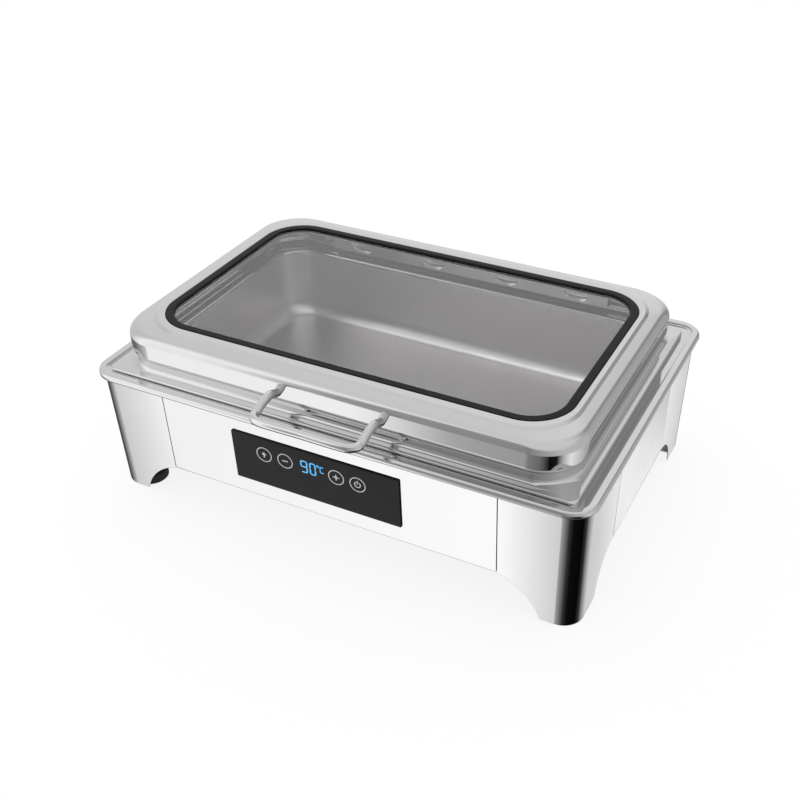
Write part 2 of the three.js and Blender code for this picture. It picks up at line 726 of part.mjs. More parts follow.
function legPlate(sideX, sideY) {
  const margin = SKIRT_SHEET + FIT_GAP;
  const whole = loft([skirtRing(plateLow, margin), skirtRing(plateHigh, margin)]);
  const edgeX = seamX + FRONT_ARCH_REACH + FIT_GAP;
  const edgeY = seamY + SIDE_ARCH_REACH + FIT_GAP;
  const xs = [sideX * edgeX, sideX * rimHalf].sort((a, b) => a - b);
  const ys = [sideY * edgeY, sideY * rimHalf].sort((a, b) => a - b);
  const piece = common(whole, block([xs[0], ys[0], 0], [xs[1], ys[1], RIM_TOP]));
  const hole = drill(FOOT_STEM_RADIUS + FIT_GAP, sideX * footX, sideY * footY, plateLow);
  return cut(piece, hole);
}

for (const [name, sideX, sideY] of corners) {
  add(base, "leg_" + name, leg(sideX, sideY), mirrorSteel());
  add(base, "leg_plate_" + name, legPlate(sideX, sideY), zincSteel());
  add(base, "foot_" + name, foot(), blackRubber()).position.set(sideX * footX, sideY * footY, 0);
}
add(base, "panel_left", sidePanel(-1), mirrorSteel());
add(base, "panel_right", sidePanel(1), mirrorSteel());

// Bottom cover

function bottomCover() {
  const margin = SKIRT_SHEET + FIT_GAP;
  const plate = loft([skirtRing(coverLow, margin), skirtRing(coverTop, margin)]);
  const groupX = SLOT_GROUP_SHARES[0] * rimHalf;
  const groupY = SLOT_GROUP_SHARES[1] * rimHalfDepth;
  const slots = [];
  for (const sideX of [-1, 1]) {
    for (const sideY of [-1, 1]) {
      for (let i = 0; i < SLOTS_PER_GROUP; i += 1) {
        const y = sideY * groupY + (i - (SLOTS_PER_GROUP - 1) / 2) * SLOT_PITCH;
        slots.push(box(SLOT_LENGTH, SLOT_WIDTH, 2 * DRILL_REACH, [sideX * groupX, y, coverLow]));
      }
    }
  }
  return cut(plate, ...slots);
}

add(base, "bottom_cover", bottomCover(), zincSteel());

// Water pan, hung in the collar

const waterHalf = collarHole - FIT_GAP;

function waterPan() {
  const topCorner = collarCorner - COLLAR_LEDGE - FIT_GAP;
  const lowHalf = waterHalf - WATER_PAN_DRAFT;
  const lowCorner = topCorner - WATER_PAN_DRAFT;
  const inner = WATER_PAN_BEND * 2;
  return sheetCup(bent([
    station(lowHalf - inner, panInset, waterFloor, lowCorner - inner / 2, panShift),
    station(lowHalf, panInset, waterFloor, lowCorner, panShift, WATER_PAN_BEND),
    station(waterHalf, panInset, collarTop, topCorner, panShift),
  ]), -WATER_PAN_SHEET);
}

add(base, "water_pan", waterPan(), satinSteel());

// Food pan, lifted out by hand

function foodPan() {
  const lowHalf = openingHalf - PAN_DRAFT;
  const ledge = panTop - PAN_SHOULDER_DROP;
  const lowCorner = PAN_OPENING_CORNER - PAN_DRAFT / 2;
  const flat = 2 * PAN_FLOOR_BEND;
  return sheetCup(bent([
    station(lowHalf - flat, openingInset, panFloor, lowCorner / 2, panShift),
    station(lowHalf, openingInset, panFloor, lowCorner, panShift, PAN_FLOOR_BEND),
    station(openingHalf - PAN_SHEET, openingInset, ledge, PAN_OPENING_CORNER, panShift, SMALL_BEND),
    station(openingHalf, openingInset, panTop, PAN_OPENING_CORNER, panShift, SMALL_BEND),
    station(panHalf, panInset, panTop, PAN_FLANGE_CORNER, panShift, SMALL_BEND),
    station(panHalf, panInset, panTop - PAN_LIP_DROP, PAN_FLANGE_CORNER, panShift),
  ]), PAN_SHEET);
}

add(pan, "food_pan", foodPan(), satinSteel());

// Heater: spreader riveted through two clamp bars that press the element on it

const spreaderLength = PAN_OPENING_LENGTH - 2 * SPREADER_MARGIN;
const spreaderWidth = PAN_OPENING_WIDTH - 2 * SPREADER_MARGIN;
const elementRun = spreaderLength - 2 * ELEMENT_MARGIN;
const elementPitch = spreaderWidth / (ELEMENT_RUNS + 1);
const clampX = CLAMP_SHARE * spreaderLength;
const rivetY = spreaderWidth / 2 - RIVET_MARGIN;
const spreaderTop = waterFloor - FIT_GAP;
const spreaderLow = spreaderTop - SPREADER_THICKNESS;
const elementZ = spreaderLow - FIT_GAP - ELEMENT_RADIUS;
const clampTop = elementZ - ELEMENT_RADIUS - FIT_GAP;
const clampLow = clampTop - CLAMP_SHEET;

function heatSpreader() {
  const plate = slabAlongY(spreaderLength, spreaderWidth, SPREADER_CORNER, SPREADER_THICKNESS)
    .rotateX(Math.PI / 2).translate(0, panShift, spreaderTop);
  const rivets = [];
  for (const sideX of [-1, 1]) {
    for (const sideY of [-1, 1]) {
      const x = sideX * clampX;
      const y = panShift + sideY * rivetY;
      const head = clampLow - FIT_GAP;
      rivets.push(turned([
        [0, head - RIVET_HEAD],
        [RIVET_HEAD_RADIUS, head - RIVET_HEAD],
        [RIVET_HEAD_RADIUS, head],
        [RIVET_RADIUS, head],
        [RIVET_RADIUS, spreaderTop - SPREADER_THICKNESS / 2],
        [0, spreaderTop - SPREADER_THICKNESS / 2],
      ], DRILL_SIDES).translate(x, y, 0));
    }
  }
  return join(plate, ...rivets);
}

function clampBar(side) {
  const length = 2 * rivetY + 2 * CLAMP_WIDTH;
  const bar = box(CLAMP_WIDTH, length, CLAMP_SHEET, [side * clampX, panShift, (clampTop + clampLow) / 2]);
  const holes = [-1, 1].map((sideY) =>
    drill(RIVET_RADIUS + FIT_GAP, side * clampX, panShift + sideY * rivetY, clampLow));
  return cut(bar, ...holes);
}

// The element runs to and fro in straight runs that half circles join.
function elementPath() {
  const path = new THREE.CurvePath();
  const first = -(ELEMENT_RUNS - 1) / 2 * elementPitch + panShift;
  const bend = elementPitch / 2;
  for (let run = 0; run < ELEMENT_RUNS; run += 1) {
    const way = run % 2 ? -1 : 1;
    const y = first + run * elementPitch;
    const start = new THREE.Vector3(-way * elementRun / 2, y, elementZ);
    const end = new THREE.Vector3(way * elementRun / 2, y, elementZ);
    path.add(new THREE.LineCurve3(start, end));
    if (run === ELEMENT_RUNS - 1) break;
    const mid = new THREE.Vector3(way * (elementRun / 2 + bend), y + bend, elementZ);
    const next = new THREE.Vector3(end.x, y + elementPitch, elementZ);
    path.add(new THREE.QuadraticBezierCurve3(end, new THREE.Vector3(mid.x, y, elementZ), mid));
    path.add(new THREE.QuadraticBezierCurve3(mid, new THREE.Vector3(mid.x, next.y, elementZ), next));
  }
  return path;
}

function roundSection(radius, sides) {
  const points = [];
  for (let i = 0; i < sides; i += 1) {
    const angle = 2 * Math.PI * i / sides;
    points.push(new THREE.Vector2(radius * Math.cos(angle), radius * Math.sin(angle)));
  }
  return new THREE.Shape(points);
}

function heatingElement() {
  return new THREE.ExtrudeGeometry(roundSection(ELEMENT_RADIUS, ELEMENT_SIDES), {
    steps: ELEMENT_STEPS, bevelEnabled: false, extrudePath: elementPath(),
  });
}

add(base, "heat_spreader", heatSpreader(), aluminium());
add(base, "clamp_bar_left", clampBar(-1), zincSteel());
add(base, "clamp_bar_right", clampBar(1), zincSteel());
add(base, "heating_element", heatingElement(), zincSteel());
add(base, "thermal_cutout", rod(CUTOUT_RADIUS, CUTOUT_HEIGHT), darkPlastic())
  .position.set(0, panShift, spreaderLow - FIT_GAP - CUTOUT_HEIGHT);
add(base, "temperature_sensor", alongX(rod(SENSOR_RADIUS, SENSOR_LENGTH, DRILL_SIDES)), zincSteel())
  .position.set(elementRun / 2, panShift + spreaderWidth / 2 + SENSOR_GAP, spreaderTop - SENSOR_RADIUS);

// Control unit, leaning with the front panel. Its own -Y points out of the panel.

const lean = Math.atan(FRONT_TAPER);
const controlZ = panelMiddle + CONTROL_RISE;
const controlBoxLength = CONTROL_GLASS_LENGTH - 2 * CONTROL_SIDE_LAP;
const controlBoxWidth = CONTROL_GLASS_WIDTH - 2 * CONTROL_EDGE_LAP;
const controlUnit = new THREE.Group();
controlUnit.position.set(CONTROL_X, -skirtY(controlZ), controlZ);
controlUnit.rotation.x = lean;
controlUnit.updateMatrix();
base.add(controlUnit);

function controlCutout() {
  return box(controlBoxLength + 2 * FIT_GAP, CONTROL_BOX_DEPTH, controlBoxWidth + 2 * FIT_GAP)
    .applyMatrix4(controlUnit.matrix);
}

const displayBack = DISPLAY_DEPTH + FIT_GAP;
const boardBack = displayBack + FIT_GAP + BOARD_THICKNESS;

function controlBox() {
  const body = box(controlBoxLength, CONTROL_BOX_DEPTH, controlBoxWidth, [0, CONTROL_BOX_DEPTH / 2, 0]);
  const wide = 2 * CONTROL_BOX_WALL;
  const narrow = wide + 2 * CONTROL_LEDGE;
  const pocket = boardBack + FIT_GAP;
  const step = (margin, start, end) => box(
    controlBoxLength - margin, end - start, controlBoxWidth - margin, [0, (start + end) / 2, 0],
  );
  return cut(body, step(wide, -OVERRUN, pocket), step(narrow, 0, CONTROL_BOX_DEPTH - CONTROL_BOX_WALL));
}

const boardMargin = 2 * (CONTROL_BOX_WALL + FIT_GAP);
add(controlUnit, "control_glass", slabAlongY(
  CONTROL_GLASS_LENGTH, CONTROL_GLASS_WIDTH, CONTROL_GLASS_CORNER, CONTROL_GLASS_THICKNESS,
).translate(0, -FIT_GAP, 0), blackGlass());
add(controlUnit, "control_box", controlBox(), darkPlastic());
add(controlUnit, "control_board", box(
  controlBoxLength - boardMargin, BOARD_THICKNESS, controlBoxWidth - boardMargin,
  [0, boardBack - BOARD_THICKNESS / 2, 0],
), boardGreen());
add(controlUnit, "display_module", box(DISPLAY_LENGTH, DISPLAY_DEPTH, DISPLAY_WIDTH), darkPlastic())
  .position.set(0, DISPLAY_DEPTH / 2, 0);

add(base, "panel_front", cut(frontOrRearPanel(-1), controlCutout()), mirrorSteel());

// Mains inlet, leaning with the rear panel. Its own +Y points out of the panel.

const inletZ = panelMiddle - INLET_DROP;
const inletLength = INLET_RECESS_LENGTH + 2 * INLET_WALL;
const inletWidth = INLET_RECESS_WIDTH + 2 * INLET_WALL;
const inletDepth = INLET_RECESS_DEPTH + INLET_BACK;
const inletUnit = new THREE.Group();
inletUnit.position.set(INLET_SEAM_GAP - seamX, skirtY(inletZ), inletZ);
inletUnit.rotation.x = -lean;
inletUnit.updateMatrix();
base.add(inletUnit);

function inletPin(x, z) {
  const root = INLET_FLANGE - INLET_RECESS_DEPTH;
  return block(
    [x - INLET_PIN_WIDTH / 2, root - OVERRUN, z - INLET_PIN_HEIGHT / 2],
    [x + INLET_PIN_WIDTH / 2, INLET_FLANGE - INLET_PIN_SETBACK, z + INLET_PIN_HEIGHT / 2],
  );
}

function mainsInlet() {
  const flange = slabAlongY(
    inletLength + 2 * INLET_SIDE_LIP, inletWidth + 2 * INLET_EDGE_LIP, INLET_CORNER, INLET_FLANGE,
  ).translate(0, INLET_FLANGE + FIT_GAP, 0);
  const body = box(inletLength, inletDepth, inletWidth, [0, INLET_FLANGE - inletDepth / 2, 0]);
  const recess = block(
    [-INLET_RECESS_LENGTH / 2, INLET_FLANGE - INLET_RECESS_DEPTH, -INLET_RECESS_WIDTH / 2],
    [INLET_RECESS_LENGTH / 2, INLET_FLANGE + OVERRUN, INLET_RECESS_WIDTH / 2],
  );
  const rise = INLET_PIN_RISE;
  return join(cut(join(flange, body), recess),
    inletPin(-INLET_PIN_PITCH, rise), inletPin(0, rise + INLET_PIN_RISE), inletPin(INLET_PIN_PITCH, rise));
}

function inletCutout() {
  const gap = 2 * FIT_GAP;
  return box(inletLength + gap, inletDepth, inletWidth + gap)
    .applyMatrix4(inletUnit.matrix);
}

add(inletUnit, "mains_inlet", mainsInlet(), darkPlastic());
add(base, "panel_rear", cut(frontOrRearPanel(1), inletCutout()), mirrorSteel());

// Power tray on the bottom cover, beside the heater

const trayX = rimHalf - TRAY_INSET;

function powerTray() {
  const low = coverTop + FIT_GAP;
  const high = low + TRAY_HEIGHT;
  const ledge = high - 2 * TRAY_WALL;
  const body = block(
    [trayX - TRAY_LENGTH / 2, -TRAY_WIDTH / 2, low],
    [trayX + TRAY_LENGTH / 2, TRAY_WIDTH / 2, high],
  );
  const pocket = (wall, floor) => block(
    [trayX - TRAY_LENGTH / 2 + wall, -TRAY_WIDTH / 2 + wall, floor],
    [trayX + TRAY_LENGTH / 2 - wall, TRAY_WIDTH / 2 - wall, high + OVERRUN],
  );
  return cut(body, pocket(TRAY_WALL, ledge), pocket(TRAY_WALL + TRAY_LEDGE, low + TRAY_WALL));
}

const trayLedge = coverTop + FIT_GAP + TRAY_HEIGHT - 2 * TRAY_WALL;
const powerBoardTop = trayLedge + FIT_GAP + BOARD_THICKNESS;
const trayMargin = 2 * (TRAY_WALL + FIT_GAP);
add(base, "power_tray", powerTray(), darkPlastic());
add(base, "power_board", box(TRAY_LENGTH - trayMargin, TRAY_WIDTH - trayMargin, BOARD_THICKNESS,
  [trayX, 0, powerBoardTop - BOARD_THICKNESS / 2]), boardGreen());
add(base, "relay", box(RELAY_LENGTH, RELAY_WIDTH, RELAY_HEIGHT,
  [trayX, TRAY_WIDTH / 4, powerBoardTop + FIT_GAP + RELAY_HEIGHT / 2]), darkPlastic());
add(base, "transformer", box(TRANSFORMER_LENGTH, TRANSFORMER_WIDTH, TRANSFORMER_HEIGHT,
  [trayX, -TRAY_WIDTH / 4, powerBoardTop + FIT_GAP + TRANSFORMER_HEIGHT / 2]), zincSteel());

// Lid

const windowHalf = lidHalf - FRAME_SIDE;
const windowInset = lidInset + FRAME_FRONT - FRAME_SIDE;

function lidPath() {
  const border = windowHalf + BORDER_WIDTH;
  const emboss = border + EMBOSS_WIDTH;
  const crease = lidHalf - CREASE_INSET;
  const neck = lidHalf - NECK_INSET;
  const neckInset = lidInset + SMALL_BEND;
  const embossZ = lidTop - EMBOSS_DROP;
  return bent([
    station(windowHalf, windowInset, lidTop - WINDOW_LIP, WINDOW_CORNER, lidShift),
    station(windowHalf, windowInset, lidTop, WINDOW_CORNER, lidShift, SMALL_BEND),
    station(border, lidInset, lidTop, WINDOW_CORNER + BORDER_WIDTH, lidShift, SMALL_BEND),
    station(emboss, lidInset, embossZ, WINDOW_CORNER + BORDER_WIDTH, lidShift, SMALL_BEND),
    station(crease, lidInset, lidTop - CREASE_DROP, CREASE_CORNER, lidShift, RIM_BEND),
    station(lidHalf, lidInset, shoulder, WALL_CORNER, lidShift, WALL_BEND),
    station(lidHalf, lidInset, wallBottom, WALL_CORNER, lidShift, WALL_BEND),
    station(neck, neckInset, lidLow + NECK_RISE, NECK_CORNER, lidShift, WALL_BEND),
    station(neck, neckInset, lidLow + NECK_FOOT, NECK_CORNER, lidShift, COVE_BEND),
    station(flangeHalf, flangeInset, lidLow + FLANGE_HEIGHT, FLANGE_CORNER, lidShift, RIM_BEND),
    station(flangeHalf, flangeInset, lidLow, FLANGE_CORNER, lidShift),
  ]);
}

const handleArms = [-1, 1].map((side) => HANDLE_X + side * HANDLE_WIDTH / 2);
const handleEnd = (wallBottom + shoulder) / 2 - HANDLE_END_DROP;
const armPlateStart = BARREL_LENGTH / 2 + FIT_GAP;
const armScrewPlaces = [];
for (const side of [-1, 1]) {
  for (const along of [ARM_SCREW_MARGIN + KNUCKLE_WIDTH, ARM_PLATE_LENGTH - ARM_SCREW_MARGIN / 2]) {
    armScrewPlaces.push({ side, x: HINGE_X + side * (armPlateStart + along) });
  }
}
const armPlateLow = wallBottom + ARM_PLATE_FOOT;
const armPlateHigh = shoulder - ARM_PLATE_HEAD;
const armScrewZ = (armPlateLow + armPlateHigh) / 2;
const armHoleRadius = ARM_SCREW_RADIUS + FIT_GAP;

function lidShell() {
  const handleHoles = handleArms.map((x) => drillY(STUD_HOLE_RADIUS, x, lidFrontWall, handleEnd));
  const screwHoles = armScrewPlaces.map(({ x }) => drillY(armHoleRadius, x, lidRearWall, armScrewZ));
  return cut(sheetRing(lidPath(), LID_SHEET), ...handleHoles, ...screwHoles);
}

add(lid, "lid_shell", lidShell(), mirrorSteel());

// Window seal: a square ring with a groove that grips the glass.

const sealHalf = windowHalf - FIT_GAP;
const sealTop = lidTop + SEAL_PROUD;
const sealLow = sealTop - SEAL_HEIGHT;
const grooveTop = sealTop - (SEAL_HEIGHT - GLASS_THICKNESS) / 2 + FIT_GAP;
const grooveLow = grooveTop - GLASS_THICKNESS - 2 * FIT_GAP;

function windowSeal() {
  const seen = sealHalf - SEAL_WIDTH;
  const grip = seen + GLASS_BITE + FIT_GAP;
  const at = (x, z) => station(x, windowInset, z, WINDOW_CORNER - (windowHalf - x), lidShift);
  return loft([
    at(seen, sealTop - SEAL_PROUD),
    at(seen + SEAL_PROUD, sealTop),
    at(sealHalf, sealTop),
    at(sealHalf, sealLow),
    at(seen, sealLow),
    at(seen, grooveLow),
    at(grip, grooveLow),
    at(grip, grooveTop),
    at(seen, grooveTop),
  ], { loop: true });
}

function glassPane() {
  const half = sealHalf - SEAL_WIDTH + GLASS_BITE;
  const at = (z) => station(half, windowInset, z, WINDOW_CORNER - (windowHalf - half), lidShift);
  return loft([at(grooveLow + FIT_GAP), at(grooveTop - FIT_GAP)]);
}

// The retainer is an angle ring: one leg under the seal, the other up to the border.
function glassRetainer() {
  const low = sealLow - FIT_GAP;
  const outer = windowHalf + LID_SHEET + RETAINER_SHEET + RETAINER_GAP;
  const inner = outer - RETAINER_WIDTH;
  const at = (x, z, fillet = 0) =>
    station(x, windowInset, z, WINDOW_CORNER + x - windowHalf, lidShift, fillet);
  return sheetRing(bent([
    at(inner, low),
    at(outer, low, SMALL_BEND),
    at(outer, lidTop - LID_SHEET - FIT_GAP),
  ]), RETAINER_SHEET);
}

add(lid, "window_seal", windowSeal(), blackRubber());
add(lid, "glass_pane", glassPane(), clearGlass());
add(lid, "glass_retainer", glassRetainer(), satinSteel());

// Bow handle: each arm leaves the wall, crests and runs out to the bar.

function handlePath() {
  const wall = lidFrontWall - FIT_GAP;
  const bar = lidFrontWall - HANDLE_REACH;
  const crest = wall - HANDLE_CREST_REACH;
  const barZ = handleEnd - HANDLE_BAR_DROP;
  const crestZ = handleEnd + HANDLE_CREST_RISE;
  const [left, right] = handleArms;
  const out = HANDLE_ROD_RADIUS;
  const arm = (x) => [
    new THREE.Vector3(x, wall + OVERRUN, handleEnd),
    new THREE.Vector3(x, wall - out, handleEnd + out * HANDLE_EASE_SHARE),
    new THREE.Vector3(x, crest, crestZ),
    new THREE.Vector3(x, (crest + bar) / 2, (crestZ + barZ) / 2),
    new THREE.Vector3(x, bar + HANDLE_CORNER, barZ),
  ];
  const turn = HANDLE_CORNER * (1 - Math.SQRT1_2);
  const bend = (x, side) => new THREE.Vector3(x + side * turn, bar + turn, barZ);
  return new THREE.CatmullRomCurve3([
    ...arm(left),
    bend(left, 1),
    new THREE.Vector3(left + HANDLE_CORNER, bar, barZ),
    new THREE.Vector3(HANDLE_X, bar, barZ),
    new THREE.Vector3(right - HANDLE_CORNER, bar, barZ),
    bend(right, -1),
    ...arm(right).reverse(),
  ], false, "centripetal");
}

function handle() {
  const bow = new THREE.ExtrudeGeometry(roundSection(HANDLE_ROD_RADIUS, HANDLE_ROD_SIDES), {
    steps: HANDLE_STEPS, bevelEnabled: false, extrudePath: handlePath(),
  });
  const wall = lidFrontWall - FIT_GAP;
  const beyond = block([-lidHalf, wall, 0], [lidHalf, wall + HANDLE_REACH, lidTop]);
  const studs = handleArms.map((x) => alongY(rod(STUD_RADIUS, STUD_LENGTH + OVERRUN, DRILL_SIDES))
    .translate(x, lidFrontWall - OVERRUN, handleEnd));
  return join(cut(bow, beyond), ...studs);
}

function nut() {
  return alongY(cut(rod(NUT_RADIUS, NUT_HEIGHT, NUT_SIDES), drill(STUD_RADIUS + FIT_GAP, 0, 0, 0)));
}

add(lid, "handle", handle(), chrome());
["left", "right"].forEach((name, index) => {
  add(lid, "handle_nut_" + name, nut(), zincSteel())
    .position.set(handleArms[index], lidFrontWall + LID_SHEET + FIT_GAP, handleEnd);
});

// Stiffener with dimples, seated on the inside of the rear wall

function stiffener() {
  const back = lidRearWall - LID_SHEET - FIT_GAP;
  const low = wallBottom + STIFFENER_FOOT;
  const high = shoulder - STIFFENER_HEAD;
  const plate = block(
    [-STIFFENER_LENGTH / 2, back - STIFFENER_SHEET, low],
    [STIFFENER_LENGTH / 2, back, high],
  );
  const dome = (share) => new THREE.SphereGeometry(1, DRILL_SIDES, DRILL_SIDES / 2)
    .rotateX(Math.PI / 2)
    .scale(DIMPLE_LENGTH / 2, DIMPLE_DEPTH, (high - low) / 2 - DIMPLE_MARGIN)
    .translate(share * STIFFENER_LENGTH, back - STIFFENER_SHEET, (low + high) / 2);
  const behind = block(
    [-STIFFENER_LENGTH, back - STIFFENER_SHEET / 2, low],
    [STIFFENER_LENGTH, back + DIMPLE_LENGTH, high],
  );
  const domes = DIMPLE_SHARES.map((share) => cut(dome(share), behind));
  const holes = armScrewPlaces.map(({ x }) => drillY(armHoleRadius, x, lidRearWall, armScrewZ));
  return cut(join(plate, ...domes), ...holes);
}

add(lid, "lid_stiffener", stiffener(), satinSteel());

// Hinge: a fixed barrel on the rear ledge, and two arms on the lid that turn with the shaft

function barrelShape() {
  const shape = new THREE.Shape();
  const front = -BARREL_FOOT_FRONT;
  const drop = -Math.sqrt(BARREL_RADIUS ** 2 - front ** 2);
  const ledge = RIM_TOP + FIT_GAP - hingeZ;
  const seat = seatTop + FIT_GAP - hingeZ;
  const step = rimHalfDepth - LAND_WIDTH - RIM_BEND - hingeY;
  shape.moveTo(front, seat);
  shape.lineTo(step, seat);
  shape.lineTo(step, ledge);
  shape.lineTo(BARREL_RADIUS, ledge);
  shape.lineTo(BARREL_RADIUS, 0);
  shape.absarc(0, 0, BARREL_RADIUS, 0, Math.PI + Math.acos(BARREL_FOOT_FRONT / BARREL_RADIUS));
  shape.lineTo(front, drop);
  const bore = new THREE.Path();
  bore.absarc(0, 0, BARREL_BORE, 0, 2 * Math.PI, true);
  shape.holes.push(bore);
  return shape;
}

function hingeBarrel() {
  const body = new THREE.ExtrudeGeometry(barrelShape(), {
    depth: BARREL_LENGTH, bevelEnabled: false, curveSegments: ROUND_SIDES,
  }).rotateY(Math.PI / 2).rotateX(Math.PI / 2).translate(HINGE_X - BARREL_LENGTH / 2, hingeY, hingeZ);
  const hole = rod(BARREL_SCREW_RADIUS + FIT_GAP, BARREL_SCREW_DEPTH + SEAT_DROP, DRILL_SIDES);
  const holes = [-1, 1].map((side) => hole.clone()
    .translate(HINGE_X + side * barrelScrewX, hingeY, seatTop - SEAT_DROP + FIT_GAP));
  return cut(body, ...holes);
}

function barrelScrew() {
  const under = seatTop - RIM_SHEET - FIT_GAP;
  return turned([
    [0, under - BARREL_SCREW_HEAD],
    [BARREL_SCREW_HEAD_RADIUS, under - BARREL_SCREW_HEAD],
    [BARREL_SCREW_HEAD_RADIUS, under],
    [BARREL_SCREW_RADIUS, under],
    [BARREL_SCREW_RADIUS, seatTop + BARREL_SCREW_DEPTH - OVERRUN],
    [0, seatTop + BARREL_SCREW_DEPTH - OVERRUN],
  ]);
}

function sleeve() {
  const bore = SHAFT_RADIUS + FIT_GAP;
  const half = SLEEVE_LENGTH / 2;
  return alongX(turned([[bore, -half], [SLEEVE_RADIUS, -half], [SLEEVE_RADIUS, half], [bore, half]]));
}

const knuckleEnd = armPlateStart + KNUCKLE_WIDTH;

// One arm: the knuckle round the shaft, the web to the lid's wall and the plate screwed to it.
function hingeArm(side) {
  const wall = lidRearWall + FIT_GAP;
  const from = HINGE_X + side * armPlateStart;
  const to = HINGE_X + side * knuckleEnd;
  const end = HINGE_X + side * (armPlateStart + ARM_PLATE_LENGTH);
  const [x0, x1] = [from, to].sort((a, b) => a - b);
  const [plateStart, plateEnd] = [from, end].sort((a, b) => a - b);
  const knuckle = alongX(rod(KNUCKLE_RADIUS, KNUCKLE_WIDTH)).translate(x0, hingeY, hingeZ);
  const web = block([x0, wall, hingeZ - ARM_WEB_DROP], [x1, hingeY, hingeZ + KNUCKLE_RADIUS]);
  const trimmed = cut(web, block(
    [x0 - OVERRUN, wall - OVERRUN, 0],
    [x1 + OVERRUN, lidRearWall + ARM_PLATE_SHEET, armPlateLow],
  ));
  const plate = block(
    [plateStart, wall, armPlateLow],
    [plateEnd, wall + ARM_PLATE_SHEET, armPlateHigh],
  );
  const bore = alongX(rod(SHAFT_RADIUS + FIT_GAP, 3 * KNUCKLE_WIDTH))
    .translate(x0 - KNUCKLE_WIDTH, hingeY, hingeZ);
  const holes = armScrewPlaces.filter((place) => place.side === side)
    .map(({ x }) => drillY(armHoleRadius, x, lidRearWall, armScrewZ));
  return cut(join(knuckle, trimmed, plate), bore, ...holes);
}

// The screws pass the plate, the wall and the stiffener.
const armScrewGrip = ARM_PLATE_SHEET + LID_SHEET + STIFFENER_SHEET + 3 * FIT_GAP;
const armScrewTip = lidRearWall + ARM_PLATE_SHEET + 2 * FIT_GAP - armScrewGrip - OVERRUN;

function armScrew() {
  const under = armScrewGrip + OVERRUN;
  return alongY(turned([
    [0, 0],
    [ARM_SCREW_RADIUS, 0],
    [ARM_SCREW_RADIUS, under],
    [ARM_SCREW_HEAD_RADIUS, under],
    [ARM_SCREW_HEAD_RADIUS, under + ARM_SCREW_HEAD],
    [0, under + ARM_SCREW_HEAD],
  ], DRILL_SIDES));
}

// Domed cap that closes the knuckle over the shaft's end.
function endCap() {
  const shape = [
    [SHAFT_RADIUS + FIT_GAP, 0],
    [CAP_RADIUS, 0],
    [CAP_RADIUS, CAP_LENGTH / 2],
    [CAP_RADIUS - SMALL_BEND, CAP_LENGTH],
    [0, CAP_LENGTH],
    [0, CAP_LENGTH - CAP_WALL],
    [SHAFT_RADIUS + FIT_GAP, CAP_LENGTH - CAP_WALL],
  ];
  return alongX(turned(shape));
}

function shaft() {
  const half = knuckleEnd + CAP_LENGTH - CAP_WALL;
  return alongX(rod(SHAFT_RADIUS, 2 * half).translate(0, 0, -half));
}

add(base, "hinge_barrel", hingeBarrel(), mirrorSteel());
add(lid, "hinge_shaft", shaft(), zincSteel()).position.set(HINGE_X, hingeY, hingeZ);
for (const [name, side] of [["left", -1], ["right", 1]]) {
  const sleeveX = HINGE_X + side * (BARREL_LENGTH - SLEEVE_LENGTH) / 2;
  add(base, "hinge_sleeve_" + name, sleeve(), darkPlastic()).position.set(sleeveX, hingeY, hingeZ);
  add(base, "barrel_screw_" + name, barrelScrew(), zincSteel())
    .position.set(HINGE_X + side * barrelScrewX, hingeY, 0);
  add(lid, "hinge_arm_" + name, hingeArm(side), mirrorSteel());
  const cap = add(lid, "hinge_cap_" + name, endCap(), chrome());
  cap.position.set(HINGE_X + side * (knuckleEnd + FIT_GAP), hingeY, hingeZ);
  cap.rotation.y = side < 0 ? Math.PI : 0;
}
armScrewPlaces.forEach(({ side, x }, index) => {
  const name = "arm_screw_" + (side < 0 ? "left_" : "right_") + (index % 2 + 1);
  add(lid, name, armScrew(), zincSteel()).position.set(x, armScrewTip, armScrewZ);
});

// The origin stands under the middle of the whole dish.
const middle = new THREE.Box3().setFromObject(dish).getCenter(new THREE.Vector3());
dish.position.set(-middle.x, -middle.y, 0);

export default dish;
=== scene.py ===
# %% [markdown]
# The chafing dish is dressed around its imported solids, which give every place and size.
# The camera comes first, because it was fitted to straight edges measured in the photograph.
# Lengths below are in millimetres and are turned into metres when a mesh is made.

import json
import math

import bmesh
import bpy
import numpy as np
from mathutils import Matrix, Vector


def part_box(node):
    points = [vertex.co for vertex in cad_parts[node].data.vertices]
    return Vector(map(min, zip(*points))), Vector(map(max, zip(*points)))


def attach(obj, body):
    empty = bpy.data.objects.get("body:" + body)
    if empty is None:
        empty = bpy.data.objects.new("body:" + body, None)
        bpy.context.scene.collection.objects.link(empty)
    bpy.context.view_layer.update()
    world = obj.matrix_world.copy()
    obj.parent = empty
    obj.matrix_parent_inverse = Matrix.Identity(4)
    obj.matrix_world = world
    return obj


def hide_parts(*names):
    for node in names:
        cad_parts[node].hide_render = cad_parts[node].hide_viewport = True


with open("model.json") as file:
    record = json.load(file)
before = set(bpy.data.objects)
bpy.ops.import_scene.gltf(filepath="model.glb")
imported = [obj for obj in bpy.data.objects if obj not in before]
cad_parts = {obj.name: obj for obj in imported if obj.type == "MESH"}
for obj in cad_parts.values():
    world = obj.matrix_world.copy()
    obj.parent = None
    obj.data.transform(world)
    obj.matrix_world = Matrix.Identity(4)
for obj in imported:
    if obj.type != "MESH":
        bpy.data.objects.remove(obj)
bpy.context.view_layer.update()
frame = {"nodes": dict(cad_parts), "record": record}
MM = 0.001
rim_low, rim_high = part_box("rim_frame")
SHIFT_Y = (rim_low.y + rim_high.y) / 2 / MM  # the rim's middle, from which the sizes below count


def placed(name, data):
    """A new object, put in the scene."""
    made = bpy.data.objects.new(name, data)
    bpy.context.scene.collection.objects.link(made)
    return made


